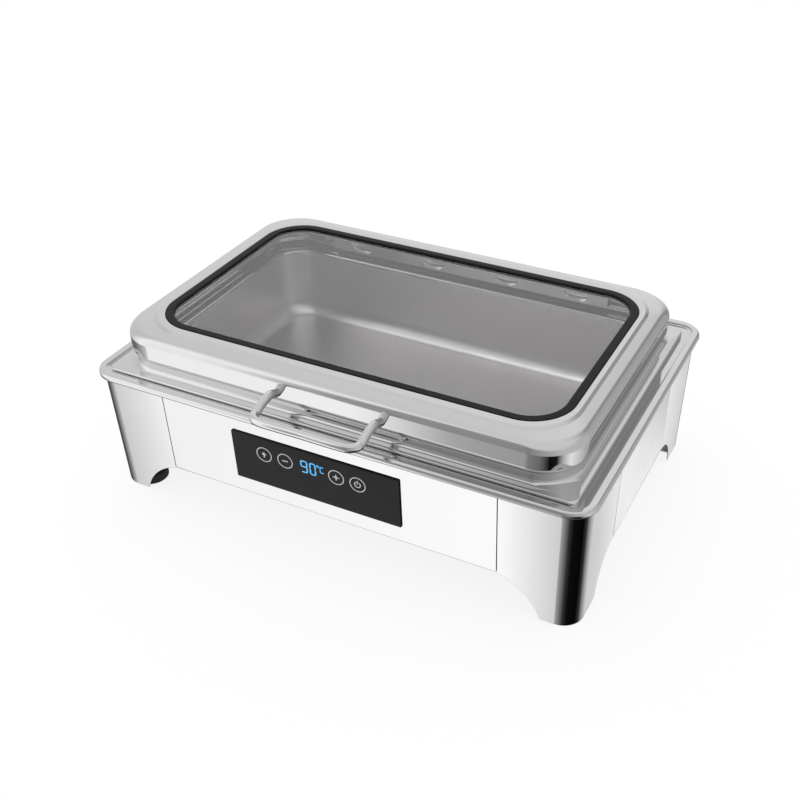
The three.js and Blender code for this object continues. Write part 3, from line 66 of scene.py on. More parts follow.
camera = placed("camera", bpy.data.cameras.new("camera"))
camera.data.lens = 50.78
camera.data.sensor_width = 36
camera.data.shift_x = -0.0375
view_right = Vector((0.8961, 0.4438, -0.0023)).normalized()
view_ahead = Vector((-0.3705, 0.7452, -0.5545)).normalized()
view_up = view_right.cross(view_ahead)
turn = Matrix((view_right, view_up, -view_ahead)).transposed().to_4x4()
camera.matrix_world = Matrix.Translation((0.5299, -0.98363, 0.8429)) @ turn
bpy.context.scene.camera = camera
bpy.context.scene.view_settings.view_transform = "Standard"
print("camera at", [round(v, 3) for v in camera.location])

# %% [markdown]
# Most of the dish is pressed sheet that follows a rounded rectangle, so one kind of surface
# does nearly all the work: a profile of stations swept round such a rectangle. It could be
# made by subdividing the solids, but a mirror shows every facet, so each point gets its true
# normal from the formula instead. The profile comes first: its corners become arcs, and an
# offset copy of it gives the sheet its thickness.

# %% Profiles of bent sheet
def bent(path, steps=8, least=0.3):
    """Rounds the corners of a profile.

    A row of the path is half length, inset of the half depth, height, plan corner, shift and
    fillet. Each corner becomes a circular arc in the plane of half length and height, tangent
    to both straight stretches; the other values follow the same shares. Returns the stations
    and their directions of travel.
    """
    path = np.array([list(row) + [least] * (6 - len(row)) for row in path], float)
    points = path[:, :5]
    out, ways = [], []
    for i in range(len(points)):
        here = points[i]
        if i in (0, len(points) - 1):
            way = points[1] - here if i == 0 else here - points[-2]
            out.append(here)
            ways.append(way / math.hypot(way[0], way[2]))
            continue
        back, on = points[i - 1] - here, points[i + 1] - here
        long_back, long_on = math.hypot(back[0], back[2]), math.hypot(on[0], on[2])
        back, on = back / long_back, on / long_on
        u, v = back[[0, 2]], on[[0, 2]]
        cosine = float(u @ v)
        half = math.acos(max(-1, min(1, cosine))) / 2
        if math.pi - 2 * half < 0.01:
            out.append(here)
            ways.append(on)
            continue
        reach = min(path[i, 5] / math.tan(half), 0.48 * long_back, 0.48 * long_on)
        radius = reach * math.tan(half)
        centre = (u + v) / np.linalg.norm(u + v) * radius / math.sin(half)
        angle = np.linspace(0, math.pi - 2 * half, steps + 1)[:, None]
        spoke = u * reach - centre
        place = centre + spoke * np.cos(angle) - u * radius * np.sin(angle)
        travel = -spoke * np.sin(angle) - u * radius * np.cos(angle)
        for share, rows, start in ((place, out, here), (travel, ways, 0)):
            one = (share @ u - cosine * (share @ v)) / (1 - cosine ** 2)
            two = (share @ v - cosine * (share @ u)) / (1 - cosine ** 2)
            rows.extend(start + one[:, None] * back + two[:, None] * on)
    ways = np.array(ways)
    return np.array(out), ways / np.hypot(ways[:, 0], ways[:, 2])[:, None]


def sheet(path, thickness, loop=True):
    """Closes a bent profile into sheet metal of a thickness.

    The second face lies off the first along (rise, -run) of the profile, and a half circle
    joins them at each end. A cup leaves the first end open, where flat caps close it.
    """
    places, ways = bent(path)
    normal = np.zeros_like(ways)
    normal[:, 0], normal[:, 2], normal[:, 3] = ways[:, 2], -ways[:, 0], ways[:, 2]
    far = places + normal * thickness
    far[:, 3] = np.maximum(far[:, 3], 0.4)
    angle = np.linspace(0, math.pi, 6)[1:-1, None]
    size = abs(thickness) / 2

    def cap(place, way, out):
        middle = place + out * thickness / 2
        side = out * math.copysign(1, thickness)
        return (middle - size * side * np.cos(angle) + size * way * np.sin(angle),
                side * np.sin(angle) + way * np.cos(angle))

    end, end_ways = cap(places[-1], np.r_[ways[-1, :1], 0, ways[-1, 2], ways[-1, 0], 0], normal[-1])
    parts, turns = [places, end, far[::-1]], [ways, end_ways, -ways[::-1]]
    if loop:
        start, start_ways = cap(places[0], -np.r_[ways[0, :1], 0, ways[0, 2], ways[0, 0], 0], normal[0])
        parts.append(start[::-1])
        turns.append(-start_ways[::-1])
    return np.vstack(parts), np.vstack(turns)

# %% [markdown]
# Then the sweep: a profile goes round the rectangle, and all points come from one formula.

# %% Sweep
def swept(places, ways, steps=20):
    """Sweeps stations round their rounded rectangles.

    A point at angle t of a corner is (half - corner + corner cos t, the same in depth with
    sin t, height). Its normal is the ring's direction crossed with the way of the profile.
    """
    angle = np.concatenate([np.linspace(q, q + 1, steps + 1) for q in range(4)]) * math.pi / 2
    side_x = np.repeat([1, -1, -1, 1], steps + 1)
    side_y = np.repeat([1, 1, -1, -1], steps + 1)
    cosine, sine = np.cos(angle), np.sin(angle)

    def spread(rows, shift):
        half, inset, height, corner = (rows[:, k, None] for k in range(4))
        x = side_x * (half - corner) + corner * cosine
        y = shift * rows[:, 4, None] + side_y * (half - inset - corner) + corner * sine
        return np.stack([x, y, height + 0 * x], -1)

    points = spread(places, 1)
    points[..., 1] += SHIFT_Y
    along = spread(ways, 1)
    around = np.stack([-sine, cosine, 0 * sine], -1)
    normals = np.cross(np.broadcast_to(around, along.shape), along)
    return points, normals / np.maximum(np.linalg.norm(normals, axis=-1, keepdims=True), 1e-9)

# %% [markdown]
# A grid of points becomes a mesh by its quads, and by a flat face where a stack of rings ends.

# %% Faces and meshes
def grid_faces(rows, columns, loop_rows, loop_columns=True):
    """Quads of a grid of points, closed along either direction where asked."""
    i = np.arange(rows if loop_rows else rows - 1)[:, None]
    j = np.arange(columns if loop_columns else columns - 1)[None, :]
    k, m = (i + 1) % rows, (j + 1) % columns
    corners = [i * columns + j, i * columns + m, k * columns + m, k * columns + j]
    return np.stack([np.broadcast_to(c, (len(i), j.shape[1])) for c in corners], -1).reshape(-1, 4)


def capped_faces(points):
    """Faces of a stack of rings, with a flat face on the first ring and on the last."""
    rows, columns = points.shape[:2]
    ring = np.arange(columns)
    return [grid_faces(rows, columns, False), ring[::-1], (rows - 1) * columns + ring]


def mesh_object(name, points, faces, normals=None, sharp=None):
    """Makes an object from points in millimetres, with faces pointing outwards.

    The sign of the summed tetrahedra over all faces says whether they have to be reversed.
    """
    flat = points.reshape(-1, 3) * MM
    quads = [f for f in faces if isinstance(f, np.ndarray) and f.ndim == 2]
    single = [f for f in faces if not (isinstance(f, np.ndarray) and f.ndim == 2)]
    centre = flat.mean(0)
    volume = 0.0
    for block in quads + [np.array([one]) for one in single]:
        p = flat[block] - centre
        fans = np.cross(p[:, 1:-1], p[:, 2:])
        volume += float(np.einsum("ik,ijk->", p[:, 0], fans))
    lists = [row for block in quads for row in block.tolist()] + [list(map(int, f)) for f in single]
    if volume < 0:
        lists = [row[::-1] for row in lists]
    mesh = bpy.data.meshes.new(name)
    mesh.from_pydata(flat.tolist(), [], lists)
    mesh.shade_smooth()
    if normals is not None:
        facets = np.zeros(len(flat) * 3, np.float32)
        mesh.vertex_normals.foreach_get("vector", facets)
        same = np.sign(np.sum(facets * normals.reshape(-1)))
        mesh.normals_split_custom_set_from_vertices((normals.reshape(-1, 3) * same).tolist())
    elif sharp:
        mesh.set_sharp_from_angle(angle=math.radians(sharp))
    mesh.update()
    made = placed(name, mesh)
    print(name, len(mesh.vertices), "points", [round(d / MM, 1) for d in made.dimensions])
    return made

# %% [markdown]
# Every finished piece is seated at once: it rides on its body, has a finish and takes the
# place of its solids. Rings and cups are the two forms that sheet takes here.

# %% Pieces
pieces = {}


def keep(made, body, slot, *nodes):
    """Seats a finished piece on its body, in place of its solids."""
    pieces[made] = slot
    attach(made, body)
    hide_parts(*nodes)
    return made


def ring_piece(name, body, slot, path, thickness, steps=20):
    """A ring of sheet round the rounded rectangle, as one closed surface."""
    points, normals = swept(*sheet(path, thickness), steps)
    faces = [grid_faces(*points.shape[:2], True)]
    return keep(mesh_object(name + "_skin", points, faces, normals), body, slot, name)


def cup_piece(name, body, slot, path, thickness, steps=20):
    """A pan: the same sweep, closed by a flat floor on both faces."""
    points, normals = swept(*sheet(path, thickness, loop=False), steps)
    return keep(mesh_object(name + "_skin", points, capped_faces(points), normals), body, slot, name)


# %% [markdown]
# The rim frame is a rolled bead, a flat land, a lower seat for the lid and a collar that
# carries the pans. Four bars could be joined at the corners, but the real one is one pressing,
# and one swept sheet has no joins for the mirror to show. Half circles close its edges.

# %% Rim
RIM_HALF, RIM_INSET, RIM_TOP, RIM_CORNER, RIM_SHEET = 301, 96, 161.5, 30, 1.2
BEAD, BEAD_LIP = 8, 5.7  # height of the rolled edge, and how far its lip turns in
LAND, SEAT, SEAT_CORNER = 10.4, RIM_TOP - 3, 14
PAN_SHIFT, PAN_INSET = -4, 102.5
COLLAR_HALF, COLLAR_CORNER, COLLAR_TOP, COLLAR_LIP, COLLAR_BEND = 262.3, 51.3, 170.4, 5, 1.5
ring_piece("rim_frame", "base", "rim_steel", [
    (RIM_HALF - BEAD_LIP, RIM_INSET, RIM_TOP - BEAD, RIM_CORNER - BEAD_LIP, 0),
    (RIM_HALF, RIM_INSET, RIM_TOP - BEAD, RIM_CORNER, 0, BEAD / 2),
    (RIM_HALF, RIM_INSET, RIM_TOP, RIM_CORNER, 0, BEAD / 2),
    (RIM_HALF - LAND, RIM_INSET, RIM_TOP, SEAT_CORNER, 0, RIM_SHEET),
    (RIM_HALF - LAND, RIM_INSET, SEAT, SEAT_CORNER, 0, RIM_SHEET),
    (COLLAR_HALF, PAN_INSET, SEAT, COLLAR_CORNER, PAN_SHIFT, COLLAR_BEND),
    (COLLAR_HALF, PAN_INSET, COLLAR_TOP, COLLAR_CORNER, PAN_SHIFT, COLLAR_BEND),
    (COLLAR_HALF - COLLAR_LIP, PAN_INSET, COLLAR_TOP, COLLAR_CORNER - COLLAR_LIP, PAN_SHIFT),
], -RIM_SHEET)

# %% [markdown]
# Both pans are drawn cups with slanting walls, a round bend at the floor and round corners.
# They could be boxes with bevelled edges, but the sweep gives each bend its own radius. The
# food pan hangs by a flat flange, whose inner edge is a bright bend.

# %% Pans
WATER_HALF, WATER_CORNER, WATER_FLOOR, WATER_DRAFT, WATER_SHEET = 257, 46, 70.4, 6, 1
MOUTH_HALF, MOUTH_INSET, MOUTH_CORNER, MOUTH_BEND = 252.1, 100, 42, 3
PAN_HALF, PAN_TOP, PAN_FLOOR, PAN_DRAFT, PAN_SHEET = 265, 171.5, 81.5, 6.6, 0.8
FLOOR_BEND, FLANGE_CORNER, FLANGE_EDGE, FLANGE_BEND = 27, 54, 3, 1.2
cup_piece("water_pan", "base", "satin_steel", [
    (WATER_HALF - WATER_DRAFT - 28, PAN_INSET, WATER_FLOOR, WATER_CORNER - 20, PAN_SHIFT),
    (WATER_HALF - WATER_DRAFT, PAN_INSET, WATER_FLOOR, WATER_CORNER - WATER_DRAFT, PAN_SHIFT, 14),
    (WATER_HALF, PAN_INSET, COLLAR_TOP, WATER_CORNER, PAN_SHIFT),
], -WATER_SHEET)
cup_piece("food_pan", "food_pan", "pan_steel", [
    (MOUTH_HALF - PAN_DRAFT - 40, MOUTH_INSET, PAN_FLOOR, MOUTH_CORNER - 22.7, PAN_SHIFT),
    (MOUTH_HALF - PAN_DRAFT, MOUTH_INSET, PAN_FLOOR, MOUTH_CORNER - 3.5, PAN_SHIFT, FLOOR_BEND),
    (MOUTH_HALF, MOUTH_INSET, PAN_TOP, MOUTH_CORNER, PAN_SHIFT, MOUTH_BEND),
    (PAN_HALF, PAN_INSET, PAN_TOP, FLANGE_CORNER, PAN_SHIFT, FLANGE_BEND),
    (PAN_HALF, PAN_INSET, PAN_TOP - FLANGE_EDGE, FLANGE_CORNER, PAN_SHIFT),
], PAN_SHEET, 24)

# %% [markdown]
# The lid is one deep pressing: raised border round the window, an embossed step, a round
# shoulder, the wall, a neck and a flange that rests on the seat. The seal grips the glass and
# an angle ring holds both from below. Insetting a box again and again would give them too,
# but here each is one profile, which keeps the mirror clean.

# %% Lid shell, seal, glass and retainer
LID_SHIFT, LID_HALF, LID_INSET, LID_LOW, LID_SHEET = -7.9, 273.8, 95, 158.8, 1
LID_TOP = LID_LOW + 57.8
LID_BACK = LID_SHIFT + LID_HALF - LID_INSET  # outside of the rear wall
NECK_IN, NECK_SIDE = 4.5, 1.2  # the neck stands back at the ends, and so much more at front and rear
NECK_BACK = LID_BACK - NECK_IN - NECK_SIDE
WIN_HALF, WIN_INSET, WIN_CORNER = 246.3, 99, 50
WALL_LOW = LID_LOW + 25.7
LID_PATH = [
    (WIN_HALF, WIN_INSET, LID_TOP - 4.2, WIN_CORNER, LID_SHIFT),
    (WIN_HALF, WIN_INSET, LID_TOP, WIN_CORNER, LID_SHIFT, 1.2),
    (WIN_HALF + 6.2, LID_INSET, LID_TOP, 56.2, LID_SHIFT, 1.2),
    (WIN_HALF + 9.4, LID_INSET, LID_TOP - 1.9, 56.2, LID_SHIFT, 1.2),
    (LID_HALF, LID_INSET, LID_TOP - 5.2, 49, LID_SHIFT, 11),
    (LID_HALF, LID_INSET, WALL_LOW, 50, LID_SHIFT, 6),
    (LID_HALF - NECK_IN, LID_INSET + NECK_SIDE, LID_LOW + 19.7, 43, LID_SHIFT, 6),
    (LID_HALF - NECK_IN, LID_INSET + NECK_SIDE, LID_LOW + 7.6, 43, LID_SHIFT, 5),
    (LID_HALF + 7.5, LID_INSET + 1.7, LID_LOW + 6, 8, LID_SHIFT, 1.5),
    (LID_HALF + 7.5, LID_INSET + 1.7, LID_LOW, 8, LID_SHIFT),
]
ring_piece("lid_shell", "lid", "lid_steel", LID_PATH, LID_SHEET, 24)

SEAL_TOP, SEAL_LOW = LID_TOP + 0.3, LID_TOP - 7.9
SEAL_OUT, SEAL_IN = WIN_HALF - 0.3, WIN_HALF - 9.9


def window_station(half, height, fillet=0.3):
    """A station of the window's own outline, which keeps its corner as it grows."""
    return half, WIN_INSET, height, WIN_CORNER + half - WIN_HALF, LID_SHIFT, fillet


def loop_piece(name, body, slot, path, steps=24):
    """A solid ring whose section is a closed outline with every corner rounded."""
    wide = [path[-1]] + path + path[:1]
    rounded, ways = bent(wide)
    points, normals = swept(rounded[1:-1], ways[1:-1], steps)
    faces = [grid_faces(*points.shape[:2], True)]
    return keep(mesh_object(name + "_skin", points, faces, normals), body, slot, name)


loop_piece("window_seal", "lid", "seal_rubber", [
    window_station(SEAL_IN, SEAL_TOP - 1.2, 0.5),
    window_station(SEAL_IN + 1.6, SEAL_TOP, 1.2),
    window_station(SEAL_OUT, SEAL_TOP, 0.5),
    window_station(SEAL_OUT, SEAL_LOW, 0.5),
    window_station(SEAL_IN, SEAL_LOW, 0.5),
    window_station(SEAL_IN, LID_TOP - 6.1, 0.2),
    window_station(SEAL_IN + 5.9, LID_TOP - 6.1, 0.2),
    window_station(SEAL_IN + 5.9, LID_TOP - 1.5, 0.2),
    window_station(SEAL_IN, LID_TOP - 1.5, 0.2),
])
GLASS_HALF = SEAL_IN + 5.6
glass_rows, glass_ways = bent([
    window_station(GLASS_HALF - 3, LID_TOP - 5.8),
    window_station(GLASS_HALF, LID_TOP - 5.8, 0.8),
    window_station(GLASS_HALF, LID_TOP - 1.8, 0.8),
    window_station(GLASS_HALF - 3, LID_TOP - 1.8),
])
points, normals = swept(glass_rows, glass_ways, 24)
made = mesh_object("glass_pane_skin", points, capped_faces(points), normals)
keep(made, "lid", "window_glass", "glass_pane")
ring_piece("glass_retainer", "lid", "satin_steel", [
    window_station(WIN_HALF - 9.1, SEAL_LOW - 0.3),
    window_station(WIN_HALF + 3.4, SEAL_LOW - 0.3, 1.2),
    window_station(WIN_HALF + 3.4, LID_TOP - 1.3),
], 1.2)

# %% [markdown]
# A leg is one sheet bent round a corner of the base, tapered in both directions, with an arch
# cut under each end. It could be cut from a box, but a grid whose lower edge follows the arch
# keeps the mirror smooth. Solidify gives the sheet its thickness and Bevel eases its edges.

# %% Legs
SKIRT_TOP, BEAD_LOW, PANEL_LOW = 157, 153.5, 48.5
SEAM_X, SEAM_Y, SEAM_GAP, LEG_LOW = 203, 88, 0.4, 1.5
BASE_HALF, BASE_DEPTH, SIDE_LEAN, FRONT_LEAN = 295, 199, 0.015, 0.05
SKIRT_SHEET, LEG_CORNER = 1, 24
FRONT_REACH, FRONT_BULGE, SIDE_REACH, SIDE_BULGE = 49, 8.5, 47.5, 13
CORNERS = (("front_left", -1, -1), ("front_right", 1, -1), ("rear_left", -1, 1), ("rear_right", 1, 1))


def arch(distance, reach, bulge):
    """Height of an arch's edge at a distance from its seam: the arc of a circle."""
    rise = PANEL_LOW - LEG_LOW
    half = math.hypot(reach, rise) / 2
    radius = (half ** 2 + bulge ** 2) / (2 * bulge)
    along = reach / 2 - rise / (2 * half) * (radius - bulge)
    above = (PANEL_LOW + LEG_LOW) / 2 - reach / (2 * half) * (radius - bulge)
    inside = np.clip(distance, 0, reach)
    return np.maximum(above + np.sqrt(radius ** 2 - (inside - along) ** 2), LEG_LOW)


def leg_surface(corner=LEG_CORNER, straight=30, bend=25):
    """The outside of a leg in its own quarter, seams at both ends.

    Along the leg run a straight front stretch, a quarter circle and a straight side stretch.
    Up the leg a point moves from the edge to the top while the half sizes grow with the leans.
    """
    front = np.concatenate([np.linspace(SEAM_X + SEAM_GAP, SEAM_X + FRONT_REACH, straight - 2),
                            [SEAM_X + FRONT_REACH + 10, SEAM_X + FRONT_REACH + 18]])
    side = np.concatenate([[SEAM_Y + SIDE_REACH + 9.5, SEAM_Y + SIDE_REACH + 1.5],
                           np.linspace(SEAM_Y + SIDE_REACH, SEAM_Y + SEAM_GAP, straight - 2)])
    low = np.concatenate([arch(front - SEAM_X, FRONT_REACH, FRONT_BULGE), np.full(bend, LEG_LOW),
                          arch(side - SEAM_Y, SIDE_REACH, SIDE_BULGE)])
    share = np.concatenate([np.linspace(0, 0.985, 24), [1]])[:, None]
    z = np.vstack([low + share * (BEAD_LOW - low), np.full((1, len(low)), SKIRT_TOP)])
    drop = np.maximum(BEAD_LOW - z, 0)
    half_x, half_y = BASE_HALF - SIDE_LEAN * drop, BASE_DEPTH - FRONT_LEAN * drop
    turn = np.linspace(0, math.pi / 2, bend)
    angle = np.concatenate([np.full(straight, turn[0]), turn, np.full(straight, turn[-1])])
    x = half_x - corner + corner * np.sin(angle)
    y = half_y - corner + corner * np.cos(angle)
    near, far, column = slice(straight), slice(straight + bend, None), np.arange(straight)
    x[:, near] = np.where(column < straight - 1, front, half_x[:, near] - corner - 0.6)
    y[:, far] = np.where(column > 0, side, half_y[:, far] - corner - 0.6)
    return np.stack([x, y, z], -1)


def sheet_modifiers(made, thickness, bevel):
    """Gives an open surface its thickness, and eased edges with true flat faces beside them."""
    solid = made.modifiers.new("thickness", "SOLIDIFY")
    solid.thickness = thickness * MM
    solid.offset = -1
    edge = made.modifiers.new("edge", "BEVEL")
    edge.width = bevel * MM
    edge.segments = 2
    edge.limit_method = "ANGLE"
    edge.angle_limit = math.radians(50)
    edge.harden_normals = True


leg = leg_surface()
for name, side_x, side_y in CORNERS:
    points = leg * [side_x, side_y, 1]
    points[..., 1] += SHIFT_Y
    if side_x * side_y > 0:
        points = points[:, ::-1]
    made = mesh_object("leg_" + name + "_skin", points, [grid_faces(*points.shape[:2], False, False)])
    towards = Vector((side_x, side_y, 0)).normalized()
    facing = sum((p.normal * p.area for p in made.data.polygons), Vector())
    if facing.dot(towards) < 0:
        made.data.flip_normals()
    sheet_modifiers(made, SKIRT_SHEET, 0.48)
    keep(made, "base", "base_steel", "leg_" + name)

# %% [markdown]
# The panels between the legs are flat down to a tight bend, below which a shelf carries the
# cover. The bend draws the thin dark line under each panel, so the three panels in sight get
# it. The rear one is cut out for the inlet, so its solid stays.

# %% Panels
def panel_surface(top_half, lean, seam, bend=1.6, shelf=8.5, flat=2.6):
    """The outside of a panel, carried along the width between its seams.

    Going down, it drops from the top, leans in by a share of the drop, turns through a bend
    and runs inwards as the shelf. A row close above the bend keeps the lean straight.
    """
    low_half = top_half - lean * (BEAD_LOW - PANEL_LOW)
    rows = bent([(top_half, 0, SKIRT_TOP, 0, 0), (top_half, 0, BEAD_LOW, 0, 0),
                 (low_half + lean * flat, 0, PANEL_LOW + flat, 0, 0),
                 (low_half, 0, PANEL_LOW, 0, 0, bend), (low_half - shelf, 0, PANEL_LOW, 0, 0)])[0]
    along = np.array([-seam, 1 - seam, seam - 1, seam])
    out, height = rows[:, :1], rows[:, 2:3]
    return np.stack([along + 0 * out, -out + 0 * along, height + 0 * along], -1)


for name, top_half, lean, seam, turns in (("front", BASE_DEPTH, FRONT_LEAN, SEAM_X, 0),
                                          ("left", BASE_HALF, SIDE_LEAN, SEAM_Y, -1),
                                          ("right", BASE_HALF, SIDE_LEAN, SEAM_Y, 1)):
    points = panel_surface(top_half, lean, seam - SEAM_GAP)
    if turns:
        points = np.stack([-turns * points[..., 1], turns * points[..., 0], points[..., 2]], -1)
    points[..., 1] += SHIFT_Y
    made = mesh_object("panel_" + name + "_skin", points, [grid_faces(*points.shape[:2], False, False)])
    if made.data.polygons[1].normal.dot(Vector((turns, turns == 0 and -1, 0))) < 0:
        made.data.flip_normals()
    sheet_modifiers(made, SKIRT_SHEET, 0.3)
    keep(made, "base", "base_steel", "panel_" + name)

# %% [markdown]
# Round pieces are turned from an outline: the rubber feet and the caps that close the hinge.
# Cylinders with Bevel would do, but an outline gives each edge its own rounding.

# %% Feet and hinge caps
def turned(name, outline, at, steps=48, axis="z", fillet_steps=5):
    """Turns an outline of (radius, height, fillet) round an axis through a place.

    A point at angle t is (radius cos t, radius sin t, height) before it is laid along the axis.
    """
    rows = [(r, 0, h, 0, 0, *f) for r, h, *f in outline]
    places, ways = bent(rows, fillet_steps)
    angle = np.arange(steps) * 2 * math.pi / steps
    cosine, sine = np.cos(angle), np.sin(angle)
    r, h = places[:, :1], places[:, 2:3]
    points = np.stack([r * cosine, r * sine, h + 0 * r * cosine], -1)
    run, rise = ways[:, :1], ways[:, 2:3]
    normals = np.stack([rise * cosine, rise * sine, -run + 0 * cosine], -1)
    if axis == "x":
        points, normals = points[..., [2, 0, 1]], normals[..., [2, 0, 1]]
    if axis == "-x":
        points, normals = points[..., [2, 1, 0]] * [-1, 1, 1], normals[..., [2, 1, 0]] * [-1, 1, 1]
    return mesh_object(name + "_skin", points + np.array(at, float), capped_faces(points), normals)


for name, side_x, side_y in CORNERS:
    low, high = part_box("foot_" + name)
    middle = ((low.x + high.x) / 2 / MM, (low.y + high.y) / 2 / MM, 0)
    keep(turned("foot_" + name, [
        (2, 1.4), (8, 1.4, 0.8), (9, 0, 0.8), (18.5, 0, 1), (20, 1.5, 1), (20, 11, 1.5), (18.5, 12.5, 1.2),
        (3.6, 12.5, 0.4), (3.6, 14.6, 0.3), (6, 14.6, 0.4), (3.4, 17, 0.5), (0.5, 17),
    ], middle), "base", "foot_rubber", "foot_" + name)

HINGE_BACK, CAP_OUT = 188.5, 84  # the shaft behind the rim's middle, and the caps from its centre
HINGE_X, HINGE_Y, HINGE_Z = 8, HINGE_BACK + SHIFT_Y, 181.5
for name, side, axis in (("left", -1, "-x"), ("right", 1, "x")):
    keep(turned("hinge_cap_" + name, [
        (4.3, 4), (4.3, 0, 0.2), (8, 0, 0.5), (8, 5.2, 2), (5.5, 7, 2), (0.4, 7),
    ], (HINGE_X + side * CAP_OUT, HINGE_Y, HINGE_Z), axis=axis), "lid", "chrome", "hinge_cap_" + name)

# %% [markdown]
# The barrel and the arms of the hinge are bars along the shaft with a bore through them. The
# bore could be cut by a Boolean, but a tube whose outer outline is a list of points and whose
# inner outline is the bore has clean edges. A plate ties each arm to the lid.

# %% Hinge barrel and arms
def bored(outline, bore, start, end, ease=0.8):
    """A bar along X with a bore: outer outline, eased ends and inner circle as one closed tube.

    The outer points keep their angle about the shaft on the bore's circle.
    """
    outline = np.array(outline, float)
    radius = np.linalg.norm(outline, axis=1, keepdims=True)
    inner = outline / radius * bore
    eased = outline * (1 - ease / radius)
    half = outline * (1 - 0.3 * ease / radius)
    section = [(start + 0.3 * ease, half), (start + ease, outline), (end - ease, outline),
               (end - 0.3 * ease, half), (end, eased), (end, inner), (start, inner), (start, eased)]
    points = np.array([np.column_stack([np.full(len(p), x), p[:, 0] + HINGE_Y, p[:, 1] + HINGE_Z])
                       for x, p in section])
    return points, grid_faces(*points.shape[:2], True)


def arc(start, end, radius, count):
    """Points of a circular arc, in degrees from +Y towards +Z."""
    t = np.radians(np.linspace(start, end, count))
    return np.column_stack([radius * np.cos(t), radius * np.sin(t)]).tolist()


def slab(half_x, half_y, low, high, corner, ease, margin, steps):
    """A flat plate about the origin: a rounded rectangle that keeps its sides between two heights.

    The upper edge is rounded by the ease, and the flat faces begin a margin inside the edges.
    """
    inset = half_x - half_y
    rows, ways = bent([(half_x - margin, inset, low, corner, 0), (half_x, inset, low, corner, 0, 0.3),
                       (half_x, inset, high, corner, 0, ease), (half_x - margin, inset, high, corner, 0)])
    points = swept(rows, ways, steps)[0]
    points[..., 1] -= SHIFT_Y
    return points


AIR = 0.3  # left between pieces that lie against each other
BARREL, BARREL_HALF, BARREL_FRONT, BARREL_BORE = 16, 74, -8.4, 6.4
LAND_AT, SEAT_AT = RIM_TOP + AIR - HINGE_Z, SEAT + AIR - HINGE_Z
STEP_AT = RIM_HALF - RIM_INSET - LAND - 1.5 - HINGE_BACK
barrel = (arc(0, 180 + math.degrees(math.acos(-BARREL_FRONT / BARREL)), BARREL, 49)
          + [[BARREL_FRONT, -17], [BARREL_FRONT, -20], [BARREL_FRONT, SEAT_AT + 0.4]]
          + [[-8, SEAT_AT], [-4, SEAT_AT], [0, SEAT_AT], [STEP_AT, SEAT_AT], [STEP_AT, LAND_AT]]
          + [[8, LAND_AT], [12, LAND_AT], [15.6, LAND_AT]]
          + [[BARREL, LAND_AT + 0.4], [BARREL, -14], [BARREL, -8]])
points, faces = bored(barrel, BARREL_BORE, HINGE_X - BARREL_HALF, HINGE_X + BARREL_HALF)
keep(mesh_object("hinge_barrel_skin", points, [faces], sharp=28), "base", "lid_steel", "hinge_barrel")

KNUCKLE, KNUCKLE_BORE, ARM_NEAR, ARM_FAR = 13, 4.3, BARREL_HALF + AIR, 83.7
PLATE_HALF, PLATE_THICK, PLATE_Z, WALL_AT = (17, 8), 1.9, 194.5, LID_BACK + AIR - HINGE_BACK
knuckle = (arc(-165, 90, KNUCKLE, 45) + [[-4, KNUCKLE], [-10, KNUCKLE]]
           + [[WALL_AT, KNUCKLE], [WALL_AT, 8], [WALL_AT, 2], [WALL_AT, -3.36]])
plate = slab(*PLATE_HALF, 0, PLATE_THICK, 2.2, 0.6, 3, 6)
for name, side in (("left", -1), ("right", 1)):
    start, end = sorted((HINGE_X + side * ARM_NEAR, HINGE_X + side * ARM_FAR))
    points, faces = bored(knuckle, KNUCKLE_BORE, start, end, 0.5)
    made = mesh_object("hinge_arm_" + name + "_skin", points, [faces], sharp=28)
    points = np.stack([plate[..., 0] + HINGE_X + side * (ARM_NEAR + PLATE_HALF[0]),
                       plate[..., 2] + LID_BACK + AIR + SHIFT_Y, plate[..., 1] + PLATE_Z], -1)
    part = mesh_object("plate_" + name, points, capped_faces(points), sharp=28)
    with bpy.context.temp_override(active_object=made, selected_editable_objects=[made, part]):
        bpy.ops.object.join()
    keep(made, "lid", "lid_steel", "hinge_arm_" + name)

# %% [markdown]
# The bow handle is one bent rod. Its centre line is a smooth curve through the points that
# the photograph gives for the wall, the crest, the bar and the two corners. A Blender curve
# with a round bevel could make it, but computed rings are even and have true normals.

# %% Handle
def smooth_curve(knots, count):
    """Centripetal spline through the knots, sampled evenly in its parameter.

    Each stretch blends three straight lines between neighbours in proportion to the square
    roots of their lengths, which keeps the bends round without loops.
    """
    knots = np.array(knots, float)
    knots = np.vstack([2 * knots[0] - knots[1], knots, 2 * knots[-1] - knots[-2]])
    t = np.concatenate([[0], np.cumsum(np.linalg.norm(np.diff(knots, axis=0), axis=1) ** 0.5)])
    at = np.linspace(t[1], t[-2], count)
    i = np.clip(np.searchsorted(t, at, side="right") - 1, 1, len(t) - 3)
    at = at[:, None]
    k = [knots[i + s] for s in (-1, 0, 1, 2)]
    u = [t[i + s][:, None] for s in (-1, 0, 1, 2)]

    def blend(a, b, first, last):
        return ((last - at) * a + (at - first) * b) / (last - first)

    a = [blend(k[s], k[s + 1], u[s], u[s + 1]) for s in range(3)]
    b = [blend(a[0], a[1], u[0], u[2]), blend(a[1], a[2], u[1], u[3])]
    return blend(b[0], b[1], u[1], u[2])


def tube(curve, radius, sides=32):
    """Sweeps a circle along a curve that never runs straight up.

    The circle's axes are the curve's direction crossed with up, and that crossed again.
    """
    way = np.gradient(curve, axis=0)
    way /= np.linalg.norm(way, axis=1, keepdims=True)
    level = np.cross(way, [0, 0, 1.0])
    level /= np.linalg.norm(level, axis=1, keepdims=True)
    upright = np.cross(level, way)
    angle = np.arange(sides) * 2 * math.pi / sides
    spokes = level[:, None] * np.cos(angle)[:, None] + upright[:, None] * np.sin(angle)[:, None]
    return curve[:, None] + spokes * radius, spokes


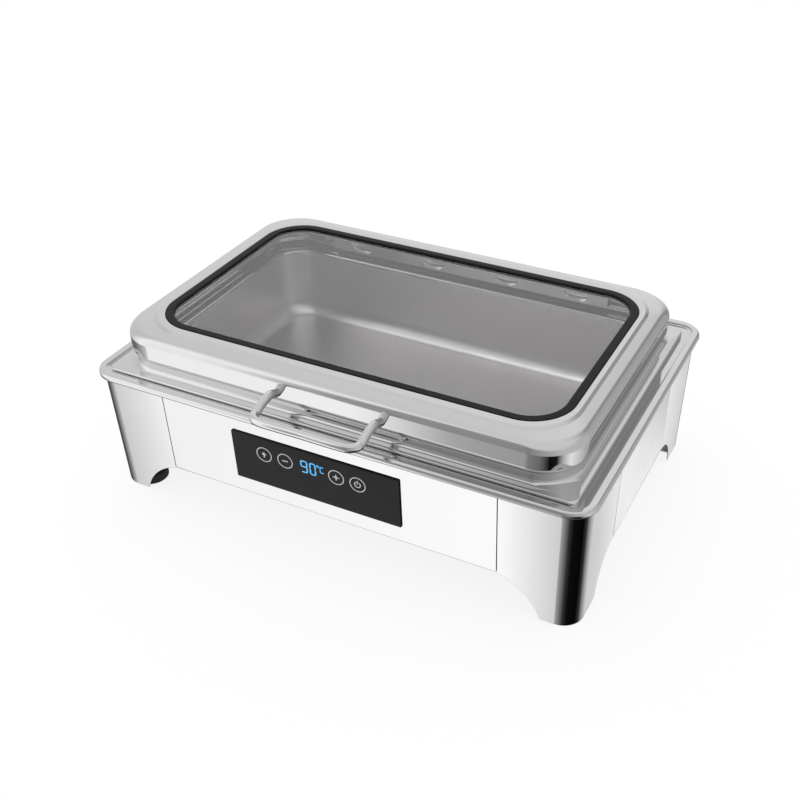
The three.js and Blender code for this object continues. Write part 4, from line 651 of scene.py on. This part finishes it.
WALL_Y, END_Z, ROD, BOW = LID_SHIFT - LID_HALF + LID_INSET, 192, 4.8, 12
BAR_Y, BAR_Z, CREST_Y, CREST_Z = WALL_Y - 52.6, END_Z - 1.8, WALL_Y - 13.3, END_Z + 4.5
HANDLE_X, HANDLE_HALF = 6, 61.9
ARM_LEFT, ARM_RIGHT = HANDLE_X - HANDLE_HALF, HANDLE_X + HANDLE_HALF


def arm(x):
    """Knots of one arm, from the wall to the corner."""
    return [(x, WALL_Y - AIR, END_Z), (x, WALL_Y - 5.1, END_Z + 1.2), (x, CREST_Y, CREST_Z),
            (x, (CREST_Y + BAR_Y) / 2, (CREST_Z + BAR_Z) / 2), (x, BAR_Y + BOW, BAR_Z)]


def bow_corner(x, side):
    """Knots of a quarter circle from an arm to the bar."""
    t = np.radians([22.5, 45, 67.5])
    return [(x + side * BOW * (1 - math.cos(a)), BAR_Y + BOW * (1 - math.sin(a)), BAR_Z) for a in t]


knots = (arm(ARM_LEFT) + bow_corner(ARM_LEFT, 1)
         + [(ARM_LEFT + BOW, BAR_Y, BAR_Z), (HANDLE_X, BAR_Y, BAR_Z), (ARM_RIGHT - BOW, BAR_Y, BAR_Z)]
         + bow_corner(ARM_RIGHT, -1)[::-1] + arm(ARM_RIGHT)[::-1])
curve = smooth_curve(knots, 220)
curve[:, 1] += SHIFT_Y
points, normals = tube(curve, ROD)
keep(mesh_object("handle_skin", points, capped_faces(points), normals), "lid", "chrome", "handle")

# %% [markdown]
# The stiffener inside the rear wall has four pressed dimples, which show through the glass as
# bright crescents. It is a thin sheet that touches the wall only where they are. A height
# picture on a plane could press them in, but their formula is exact and needs no picture.

# %% Stiffener
STIFF_HALF, STIFF_LOW, STIFF_TOP, STIFF_SHEET = 190, 177, 205.5, 1.2
DIMPLES, DIMPLE_Z, DIMPLE_WIDE, DIMPLE_HIGH, DIMPLE_DEEP = (-146, -43, 57, 150), 187.5, 16, 9, 3


def domed_plate():
    """A plate across X and Z that stands off the wall, with round dimples pressed back to it.

    Inside a dimple's ellipse the plate goes back by its depth times the root of one minus the
    square of the distance.
    """
    x, z = np.linspace(-STIFF_HALF, STIFF_HALF, 381), np.linspace(STIFF_LOW, STIFF_TOP, 39)
    grid_x, grid_z = np.meshgrid(x, z)
    rise = np.full_like(grid_x, DIMPLE_DEEP)
    for at in DIMPLES:
        distance = ((grid_x - at) / DIMPLE_WIDE) ** 2 + ((grid_z - DIMPLE_Z) / DIMPLE_HIGH) ** 2
        rise = np.minimum(rise, DIMPLE_DEEP - np.sqrt(np.clip(1 - distance, 0, None)) * DIMPLE_DEEP)
    back = NECK_BACK - LID_SHEET - AIR - STIFF_SHEET + SHIFT_Y
    return np.stack([grid_x, back - rise, grid_z], -1)


points = domed_plate()
made = mesh_object("lid_stiffener_skin", points, [grid_faces(*points.shape[:2], False, False)])
if made.data.polygons[0].normal.y > 0:
    made.data.flip_normals()
sheet_modifiers(made, STIFF_SHEET, 0.2)
keep(made, "lid", "satin_steel", "lid_stiffener")
pieces[made] = "lid_steel"

# %% [markdown]
# The control panel is a pane of black glass with printed rings, plain signs and a blue figure
# behind it. A picture could carry them, but flat shapes stay sharp from near. They lie a few
# hundredths of a millimetre proud, as paint does, and share the panel's leaning frame.

# %% Control panel
PANEL_X, PANEL_Z = -9, (PANEL_LOW + BEAD_LOW) / 2 + 1.5
PANEL_Y = SHIFT_Y - (BASE_DEPTH - FRONT_LEAN * (BEAD_LOW - PANEL_Z))
panel_frame = (Matrix.Translation((PANEL_X, PANEL_Y, PANEL_Z))
               @ Matrix.Rotation(math.atan(FRONT_LEAN), 4, "X"))
PANE_HALF, PANE_TOP, PRINT_LIFT = (103.5, 32.5), 1.8, 1.84


def on_panel(points):
    """Takes points across the panel (right, up, and out) to the leaning front of the base."""
    flat = points.reshape(-1, 3)
    local = np.stack([flat[:, 0], -flat[:, 2], flat[:, 1]], -1)
    matrix = np.array(panel_frame)
    return (local @ matrix[:3, :3].T + matrix[:3, 3]).reshape(points.shape)


pane = on_panel(slab(*PANE_HALF, AIR, PANE_TOP, 1.5, 0.5, 4.5, 8))
made = mesh_object("control_glass_skin", pane, capped_faces(pane), sharp=30)
keep(made, "base", "control_glass", "control_glass")

# %% [markdown]
# Rings and bars are all that the signs need, and a figure is made of such bars. Outlines of a
# font could be filled instead, but real segments of a display are bars too.

# %% Print
def flat_ring(centre, inner, outer, start=0, end=360, count=64, lift=PRINT_LIFT):
    """A flat band between two circles about a centre, from one angle to another."""
    closed = end - start == 360
    t = np.radians(np.linspace(start, end, count, endpoint=not closed))
    spokes = np.stack([np.cos(t), np.sin(t)], -1)
    rings = np.stack([spokes * r + centre for r in (inner, outer)])
    points = np.concatenate([rings, np.full((*rings.shape[:2], 1), lift)], -1)
    return points, grid_faces(2, len(t), False, closed)


def flat_bar(start, end, width, lift=PRINT_LIFT):
    """A flat bar with half-round ends between two points."""
    start, end = np.array(start, float), np.array(end, float)
    along = (end - start) / np.linalg.norm(end - start)
    angle = math.atan2(along[1], along[0])
    t = np.linspace(-math.pi / 2, math.pi / 2, 9)
    tip = end + width / 2 * np.stack([np.cos(t + angle), np.sin(t + angle)], -1)
    tail = start - width / 2 * np.stack([np.cos(t + angle), np.sin(t + angle)], -1)
    rim = np.vstack([tip, tail])
    points = np.column_stack([rim, np.full(len(rim), lift)])
    return points, [np.arange(len(rim))]


def printed(name, shapes, slot="control_print"):
    """Joins flat shapes into one piece of paint that faces out of the panel."""
    points, faces, count = [], [], 0
    for shape, lists in shapes:
        flat = on_panel(shape.reshape(-1, 3))
        points.append(flat)
        faces += [[int(index) + count for index in row] for row in lists]
        count += len(flat)
    mesh = bpy.data.meshes.new(name)
    mesh.from_pydata((np.vstack(points) * MM).tolist(), [], faces)
    out = Vector(np.array(panel_frame)[:3, :3] @ np.array([0, -1.0, 0]))
    backward = [p.index for p in mesh.polygons if p.normal.dot(out) < 0]
    print(name, len(mesh.polygons), "faces,", len(backward), "turned")
    work = bmesh.new()
    work.from_mesh(mesh)
    work.faces.ensure_lookup_table()
    bmesh.ops.reverse_faces(work, faces=[work.faces[i] for i in backward])
    work.to_mesh(mesh)
    work.free()
    made = placed(name, mesh)
    pieces[made] = slot
    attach(made, "base")
    return made


FIELDS = [(-62.9, 11), (-36.1, 11), (27.4, 10.2), (53.4, 9.4)]  # arrow, minus, plus and power
(up_x, up_y), (minus_x, minus_y), (plus_x, plus_y), (power_x, power_y) = FIELDS
arrow = np.array([(up_x + x, up_y + y, PRINT_LIFT) for x, y in ((-3.2, -0.4), (3.2, -0.4), (0, 3.6))])
signs = [flat_ring(place, 8.6, 9.7) for place in FIELDS] + [
    (arrow, [np.arange(3)]),
    flat_bar((up_x, up_y - 0.2), (up_x, up_y - 3.4), 1.7),
    flat_bar((minus_x - 3, minus_y), (minus_x + 3, minus_y), 1.5),
    flat_bar((plus_x - 3.2, plus_y), (plus_x + 3.2, plus_y), 1.5),
    flat_bar((plus_x, plus_y - 3.2), (plus_x, plus_y + 3.2), 1.5, PRINT_LIFT + 0.02),
    flat_ring((power_x, power_y), 2.9, 4.1, 122, 418, 40),
    flat_bar((power_x, power_y + 1), (power_x, power_y + 5), 1.2),
]
printed("control_signs", signs)


def figure(left, low, width, height, segments, bar=1.8):
    """One figure of a seven-segment display, from the letters of its lit segments."""
    right, top, middle = left + width, low + height, low + height / 2
    ends = {"a": ((left, top), (right, top)), "b": ((right, middle), (right, top)),
            "c": ((right, low), (right, middle)), "d": ((left, low), (right, low)),
            "e": ((left, low), (left, middle)), "f": ((left, middle), (left, top)),
            "g": ((left, middle), (right, middle))}
    inset = bar * 0.62
    shapes = []
    for letter in segments:
        start, end = (np.array(p, float) for p in ends[letter])
        way = (end - start) / np.linalg.norm(end - start)
        shapes.append(flat_bar(start + way * inset, end - way * inset, bar))
    return shapes


shown = (figure(-15.6, 4, 7.2, 15, "abcdfg") + figure(-4.4, 4, 6.4, 15, "abcdef")
         + [flat_ring((5.4, 17.8), 0.7, 1.7, count=24)] + figure(8.2, 10.2, 4.4, 7.6, "adef", 1.3))
printed("control_figure", shown, "control_light")

# %% [markdown]
# Wear. Polished steel shows faint smears and the slight waves of pressed sheet, satin steel
# a fine grain along the sheet, rubber and plastic a fine tooth. Pictures could be laid over
# the pieces, but noise in the object's own coordinates needs no unwrapping. One group makes
# all those masks, and each finish takes what it needs.

# %% Wear group
def feed(tree, socket, value):
    """Gives a socket its value, or a link where the value is another node's output."""
    if isinstance(value, bpy.types.NodeSocket):
        tree.links.new(value, socket)
    else:
        socket.default_value = value


def node(tree, kind, **values):
    """Adds a node and sets its properties and the inputs named by words."""
    made = tree.nodes.new(kind)
    for key, value in values.items():
        if hasattr(made, key):
            setattr(made, key, value)
        else:
            feed(tree, made.inputs[key.replace("_", " ")], value)
    return made


def math_node(tree, kind, first, second):
    """The result of a math node, fed by links or numbers."""
    made = node(tree, "ShaderNodeMath", operation=kind)
    for socket, value in zip(made.inputs, (first, second)):
        feed(tree, socket, value)
    return made.outputs[0]


wear = bpy.data.node_groups.new("surface_wear", "ShaderNodeTree")
for title in ("Smear", "Wave", "Grain", "Tooth", "Scuff", "Height"):
    wear.interface.new_socket(title, in_out="OUTPUT", socket_type="NodeSocketFloat")
where = node(wear, "ShaderNodeTexCoord").outputs["Object"]
result = node(wear, "NodeGroupOutput")
smear = node(wear, "ShaderNodeTexNoise", Vector=where, Scale=17, Detail=5, Roughness=0.62, Distortion=0.8)
smear_band = node(wear, "ShaderNodeMapRange", Value=smear.outputs[0], From_Min=0.42, From_Max=0.72)
wave = node(wear, "ShaderNodeTexNoise", Vector=where, Scale=7, Detail=1.5, Roughness=0.4)
stretch = node(wear, "ShaderNodeMapping", Vector=where, Scale=(18, 900, 900))
grain = node(wear, "ShaderNodeTexNoise", Vector=stretch.outputs[0], Scale=1, Detail=4, Roughness=0.6)
tooth = node(wear, "ShaderNodeTexNoise", Vector=where, Scale=1900, Detail=3, Roughness=0.6)
scuff = node(wear, "ShaderNodeTexVoronoi", Vector=where, Scale=60, feature="DISTANCE_TO_EDGE")
heights = node(wear, "ShaderNodeSeparateXYZ", Vector=where)
for title, output in (("Smear", smear_band.outputs["Result"]), ("Wave", wave.outputs[0]),
                      ("Grain", grain.outputs[0]), ("Tooth", tooth.outputs[0]),
                      ("Scuff", scuff.outputs["Distance"]), ("Height", heights.outputs["Z"])):
    wear.links.new(output, result.inputs[title])
print("wear group has", len(wear.nodes), "nodes")

# %% [markdown]
# The finishes: polished steel nearly everywhere, a satin food pan with a buffed rim, clear and
# black glass, rubber and plastic. Each could have its own tree, but they differ only in numbers,
# so one function makes them all. Colours of the steels were matched to the photograph.

# %% Finishes
finishes = {}


def finish(name, color, metallic, rough, rough_by=("Smear", 0.04), bump=("Wave", 0.00005), tint=None,
           bright_above=None, **sockets):
    """A finish: its colour, its roughness moved by one mask, and a bump made by another.

    A mask raises the roughness by an amount, a tint mixes in another colour by a mask, and the
    bump is a mask with a height in metres. Above a given height the surface is buffed.
    """
    made = finishes[name] = bpy.data.materials.new(name)
    made.use_nodes = True
    tree = made.node_tree
    shader = tree.nodes["Principled BSDF"]
    masks = node(tree, "ShaderNodeGroup", node_tree=wear).outputs
    dull = node(tree, "ShaderNodeMapRange", Value=masks[rough_by[0]], To_Min=rough,
                To_Max=rough + rough_by[1]).outputs["Result"]
    if bright_above:
        buffed = node(tree, "ShaderNodeMapRange", Value=masks["Height"], From_Min=bright_above - 0.003,
                      From_Max=bright_above, To_Min=1, To_Max=0.1)
        dull = math_node(tree, "MULTIPLY", dull, buffed.outputs["Result"])
    color = (*color, 1)
    if tint:
        color = node(tree, "ShaderNodeMix", data_type="RGBA", Factor=masks[tint[0]], A=color,
                     B=(*tint[1], 1)).outputs["Result"]
    raised = node(tree, "ShaderNodeBump", Height=masks[bump[0]], Distance=bump[1])
    sockets.update(Base_Color=color, Metallic=metallic, Roughness=dull, Normal=raised.outputs["Normal"])
    for key, value in sockets.items():
        feed(tree, shader.inputs[key.replace("_", " ")], value)


for name, grey in (("base_steel", 0.74), ("rim_steel", 0.7), ("lid_steel", 0.7)):
    finish(name, (grey, grey, grey + 0.005), 1, 0.03)
finish("satin_steel", (0.68, 0.665, 0.68), 1, 0.2, ("Grain", 0.14), ("Grain", 0.00001))
finish("pan_steel", (0.72, 0.69, 0.712), 1, 0.34, ("Smear", 0.06), ("Grain", 0.000006),
       ("Smear", (0.695, 0.67, 0.69)), bright_above=0.169)
finish("zinc_steel", (0.64, 0.65, 0.67), 1, 0.3, ("Smear", 0.15), ("Tooth", 0.00001),
       ("Scuff", (0.6, 0.61, 0.64)))
finish("chrome", (0.72, 0.725, 0.73), 1, 0.02, ("Smear", 0.02), ("Wave", 0.00001))
finish("aluminium", (0.76, 0.77, 0.78), 1, 0.35, ("Grain", 0.15), ("Grain", 0.00002))
finish("foot_rubber", (0.02, 0.02, 0.022), 0, 0.6, ("Smear", 0.15), ("Tooth", 0.00005))
finish("seal_rubber", (0.009, 0.0085, 0.0105), 0, 0.4, ("Smear", 0.12), ("Tooth", 0.00002),
       ("Smear", (0.015, 0.0145, 0.017)), Specular_IOR_Level=0.12)
finish("window_glass", (0.985, 0.995, 0.99), 0, 0.0, ("Smear", 0.012), ("Wave", 0.00001),
       Transmission_Weight=1.0, IOR=1.5)
finish("control_glass", (0.008, 0.008, 0.009), 0, 0.09, ("Smear", 0.06), ("Wave", 0.00002),
       ("Smear", (0.011, 0.011, 0.012)), Specular_IOR_Level=0.12)
finish("control_print", (0.55, 0.56, 0.58), 0, 0.4, ("Smear", 0.1), ("Tooth", 0.00001))
finish("control_light", (0.05, 0.2, 0.3), 0, 0.3, ("Smear", 0.1), ("Tooth", 0.00001),
       Emission_Color=(0.06, 0.36, 0.78, 1), Emission_Strength=0.9)
finish("dark_plastic", (0.03, 0.03, 0.033), 0, 0.42, ("Smear", 0.12), ("Tooth", 0.00004),
       ("Scuff", (0.037, 0.037, 0.04)))
finish("board_green", (0.03, 0.12, 0.06), 0, 0.4, ("Smear", 0.15), ("Tooth", 0.00003),
       ("Scuff", (0.05, 0.17, 0.08)))

slot_of = {part["node"]: part["material_slot"] for part in frame["record"]["subparts"]}
for name, part in frame["nodes"].items():
    part.data.materials.clear()
    part.data.materials.append(finishes[slot_of[name]])
for made, slot in pieces.items():
    made.data.materials.clear()
    made.data.materials.append(finishes[slot])
print(len(finishes), "finishes on", len(pieces), "pieces")

# %% [markdown]
# The ground is white paper with a faint shadow under the dish. Plain white would come out grey
# under one lamp, and stronger lamps would burn out the steel, so the paper glows a little for
# the eye. Mirrors skip it, because the room below has the greys that they are to show.

# %% Floor
FLOOR_HALF, FLOOR_LOW, FLOOR_GLOW = 9, -0.0003, 0.86
floor_mesh = bpy.data.meshes.new("floor")
corners = [(x * FLOOR_HALF, y * FLOOR_HALF, FLOOR_LOW) for x, y in ((-1, -1), (1, -1), (1, 1), (-1, 1))]
floor_mesh.from_pydata(corners, [], [(0, 1, 2, 3)])
floor = placed("floor", floor_mesh)
pale = bpy.data.materials.new("floor_white")
pale.use_nodes = True
ground = pale.node_tree
paint = ground.nodes["Principled BSDF"]
paint.inputs["Base Color"].default_value = (0.9, 0.9, 0.9, 1)
paint.inputs["Roughness"].default_value = 0.9
paint.inputs["Specular IOR Level"].default_value = 0.1
glow = node(ground, "ShaderNodeEmission", Color=(1, 1, 1, 1), Strength=1.0)
seen = node(ground, "ShaderNodeLightPath").outputs["Is Camera Ray"]
share = node(ground, "ShaderNodeMix", data_type="FLOAT", Factor=seen, A=0.0, B=FLOOR_GLOW)
blend = node(ground, "ShaderNodeMixShader")
for socket, output in zip(blend.inputs, (share.outputs["Result"], paint.outputs[0], glow.outputs[0])):
    ground.links.new(output, socket)
ground.links.new(blend.outputs[0], ground.nodes["Material Output"].inputs["Surface"])
floor_mesh.materials.append(pale)
floor.visible_glossy = False
print("floor", [round(d, 2) for d in floor.dimensions], "glows by", FLOOR_GLOW)

# %% [markdown]
# Polished steel shows only what stands round it, so the room has what a photographer puts
# there: white in front and on the left, greys elsewhere, and low dark cards to the right and
# behind, whose edges draw the corners. Cards could be modelled, but a ramp round the compass is
# lighter, and three of them lie above each other for floor, table and wall. They reach only
# mirror rays. They are brighter than white, because the steel gives back about three quarters.

# %% Room
room = bpy.data.worlds.new("room")
bpy.context.scene.world = room
room.use_nodes = True
tree = room.node_tree


def compass_ramp(stops, turn_share):
    """Greys round the compass: each stop is degrees from +X towards +Y, and a grey."""
    made = node(tree, "ShaderNodeValToRGB")
    elements = made.color_ramp.elements
    while len(elements) < len(stops):
        elements.new(0.5)
    for element, (degrees, grey) in zip(elements, stops):
        element.position = degrees / 360 + 0.5
        element.color = (grey ** 2.2, grey ** 2.2, grey ** 2.2, 1)
    tree.links.new(turn_share, made.inputs[0])
    return made.outputs[0]


def mixed(share, first, second):
    """Two colours mixed by a share."""
    mix = node(tree, "ShaderNodeMix", data_type="RGBA", Factor=share, A=first, B=second)
    return mix.outputs["Result"]


def rise(low, high):
    """A share that goes from 0 to 1 while the height of the direction goes from low to high."""
    return node(tree, "ShaderNodeMapRange", interpolation_type="SMOOTHSTEP", Value=split.outputs["Z"],
                From_Min=low, From_Max=high).outputs["Result"]


FLOOR_STOPS = [(-180, 0.3), (-146, 0.65), (-138, 0.78), (-135, 0.96), (-114, 1), (-106, 0.6),
               (-90, 0.45), (-70, 0.2), (-50, 0.08), (0, 0.06), (20, 0.2), (40, 0.55), (60, 0.7),
               (76, 0.76), (78, 0.95), (80, 0.7), (82, 0.08), (126, 0.08), (140, 0.3)]
TABLE_STOPS = [(-180, 0.3), (-146, 0.65), (-138, 0.78), (-135, 0.96), (-121, 0.97), (-115, 0.65),
               (-100, 0.48), (-75, 0.42), (-52, 0.08), (-34, 0.12), (-18, 0.7), (0, 0.9), (20, 0.8),
               (50, 0.65), (75, 0.72), (78, 0.95), (80, 0.75), (82, 0.08), (126, 0.08), (134, 0.5),
               (150, 0.3)]
WALL_STOPS = [(-180, 0.78), (-150, 0.97), (-123, 0.93), (-117, 0.58), (-100, 0.5), (-60, 0.62),
              (-20, 0.73), (40, 0.7), (62, 0.62), (76, 0.52), (88, 0.75), (98, 0.84), (126, 0.82),
              (165, 0.76)]
ZENITH, UNDERSIDE, MIRROR_GAIN = (0.6, 0.6, 0.6, 1), (0.08, 0.08, 0.08, 1), 1.3
gaze = node(tree, "ShaderNodeTexCoord").outputs["Generated"]
split = node(tree, "ShaderNodeSeparateXYZ", Vector=gaze)
angle = math_node(tree, "ARCTAN2", split.outputs["Y"], split.outputs["X"])
turn_share = math_node(tree, "ADD", math_node(tree, "DIVIDE", angle, 2 * math.pi), 0.5)
low, middle, high = (compass_ramp(stops, turn_share) for stops in (FLOOR_STOPS, TABLE_STOPS, WALL_STOPS))
cards = mixed(rise(-0.66, -0.62), low, middle)
cards = mixed(rise(-0.54, -0.38), cards, high)
cards = mixed(rise(0.62, 0.9), cards, ZENITH)
cards = mixed(rise(-0.9, -0.8), UNDERSIDE, cards)
ray = node(tree, "ShaderNodeLightPath")
brighter = node(tree, "ShaderNodeVectorMath", operation="SCALE", Scale=MIRROR_GAIN)
tree.links.new(cards, brighter.inputs[0])
tree.links.new(mixed(ray.outputs["Is Glossy Ray"], (1, 1, 1, 1), brighter.outputs[0]),
               tree.nodes["Background"].inputs["Color"])
tree.nodes["Background"].inputs["Strength"].default_value = 1.0
print("room of", len(FLOOR_STOPS) + len(TABLE_STOPS) + len(WALL_STOPS), "stops")

# %% [markdown]
# A big soft box overhead, behind and to the left, draws the shadow. It could be a
# glowing plane, but a lamp is quicker to render and is easily kept out of the mirrors.

# %% Lamp
LAMP_PLACE, LAMP_SIZE, LAMP_POWER = Vector((-0.6, 0.5, 2.6)), 2.2, 18
lamp = placed("overhead", bpy.data.lights.new("overhead", "AREA"))
lamp.data.shape, lamp.data.size, lamp.data.energy = "SQUARE", LAMP_SIZE, LAMP_POWER
lamp.location = LAMP_PLACE
lamp.rotation_euler = (-LAMP_PLACE).to_track_quat("-Z", "Y").to_euler()
lamp.visible_glossy = False
print("lamp of", LAMP_SIZE, "m and", LAMP_POWER, "W")
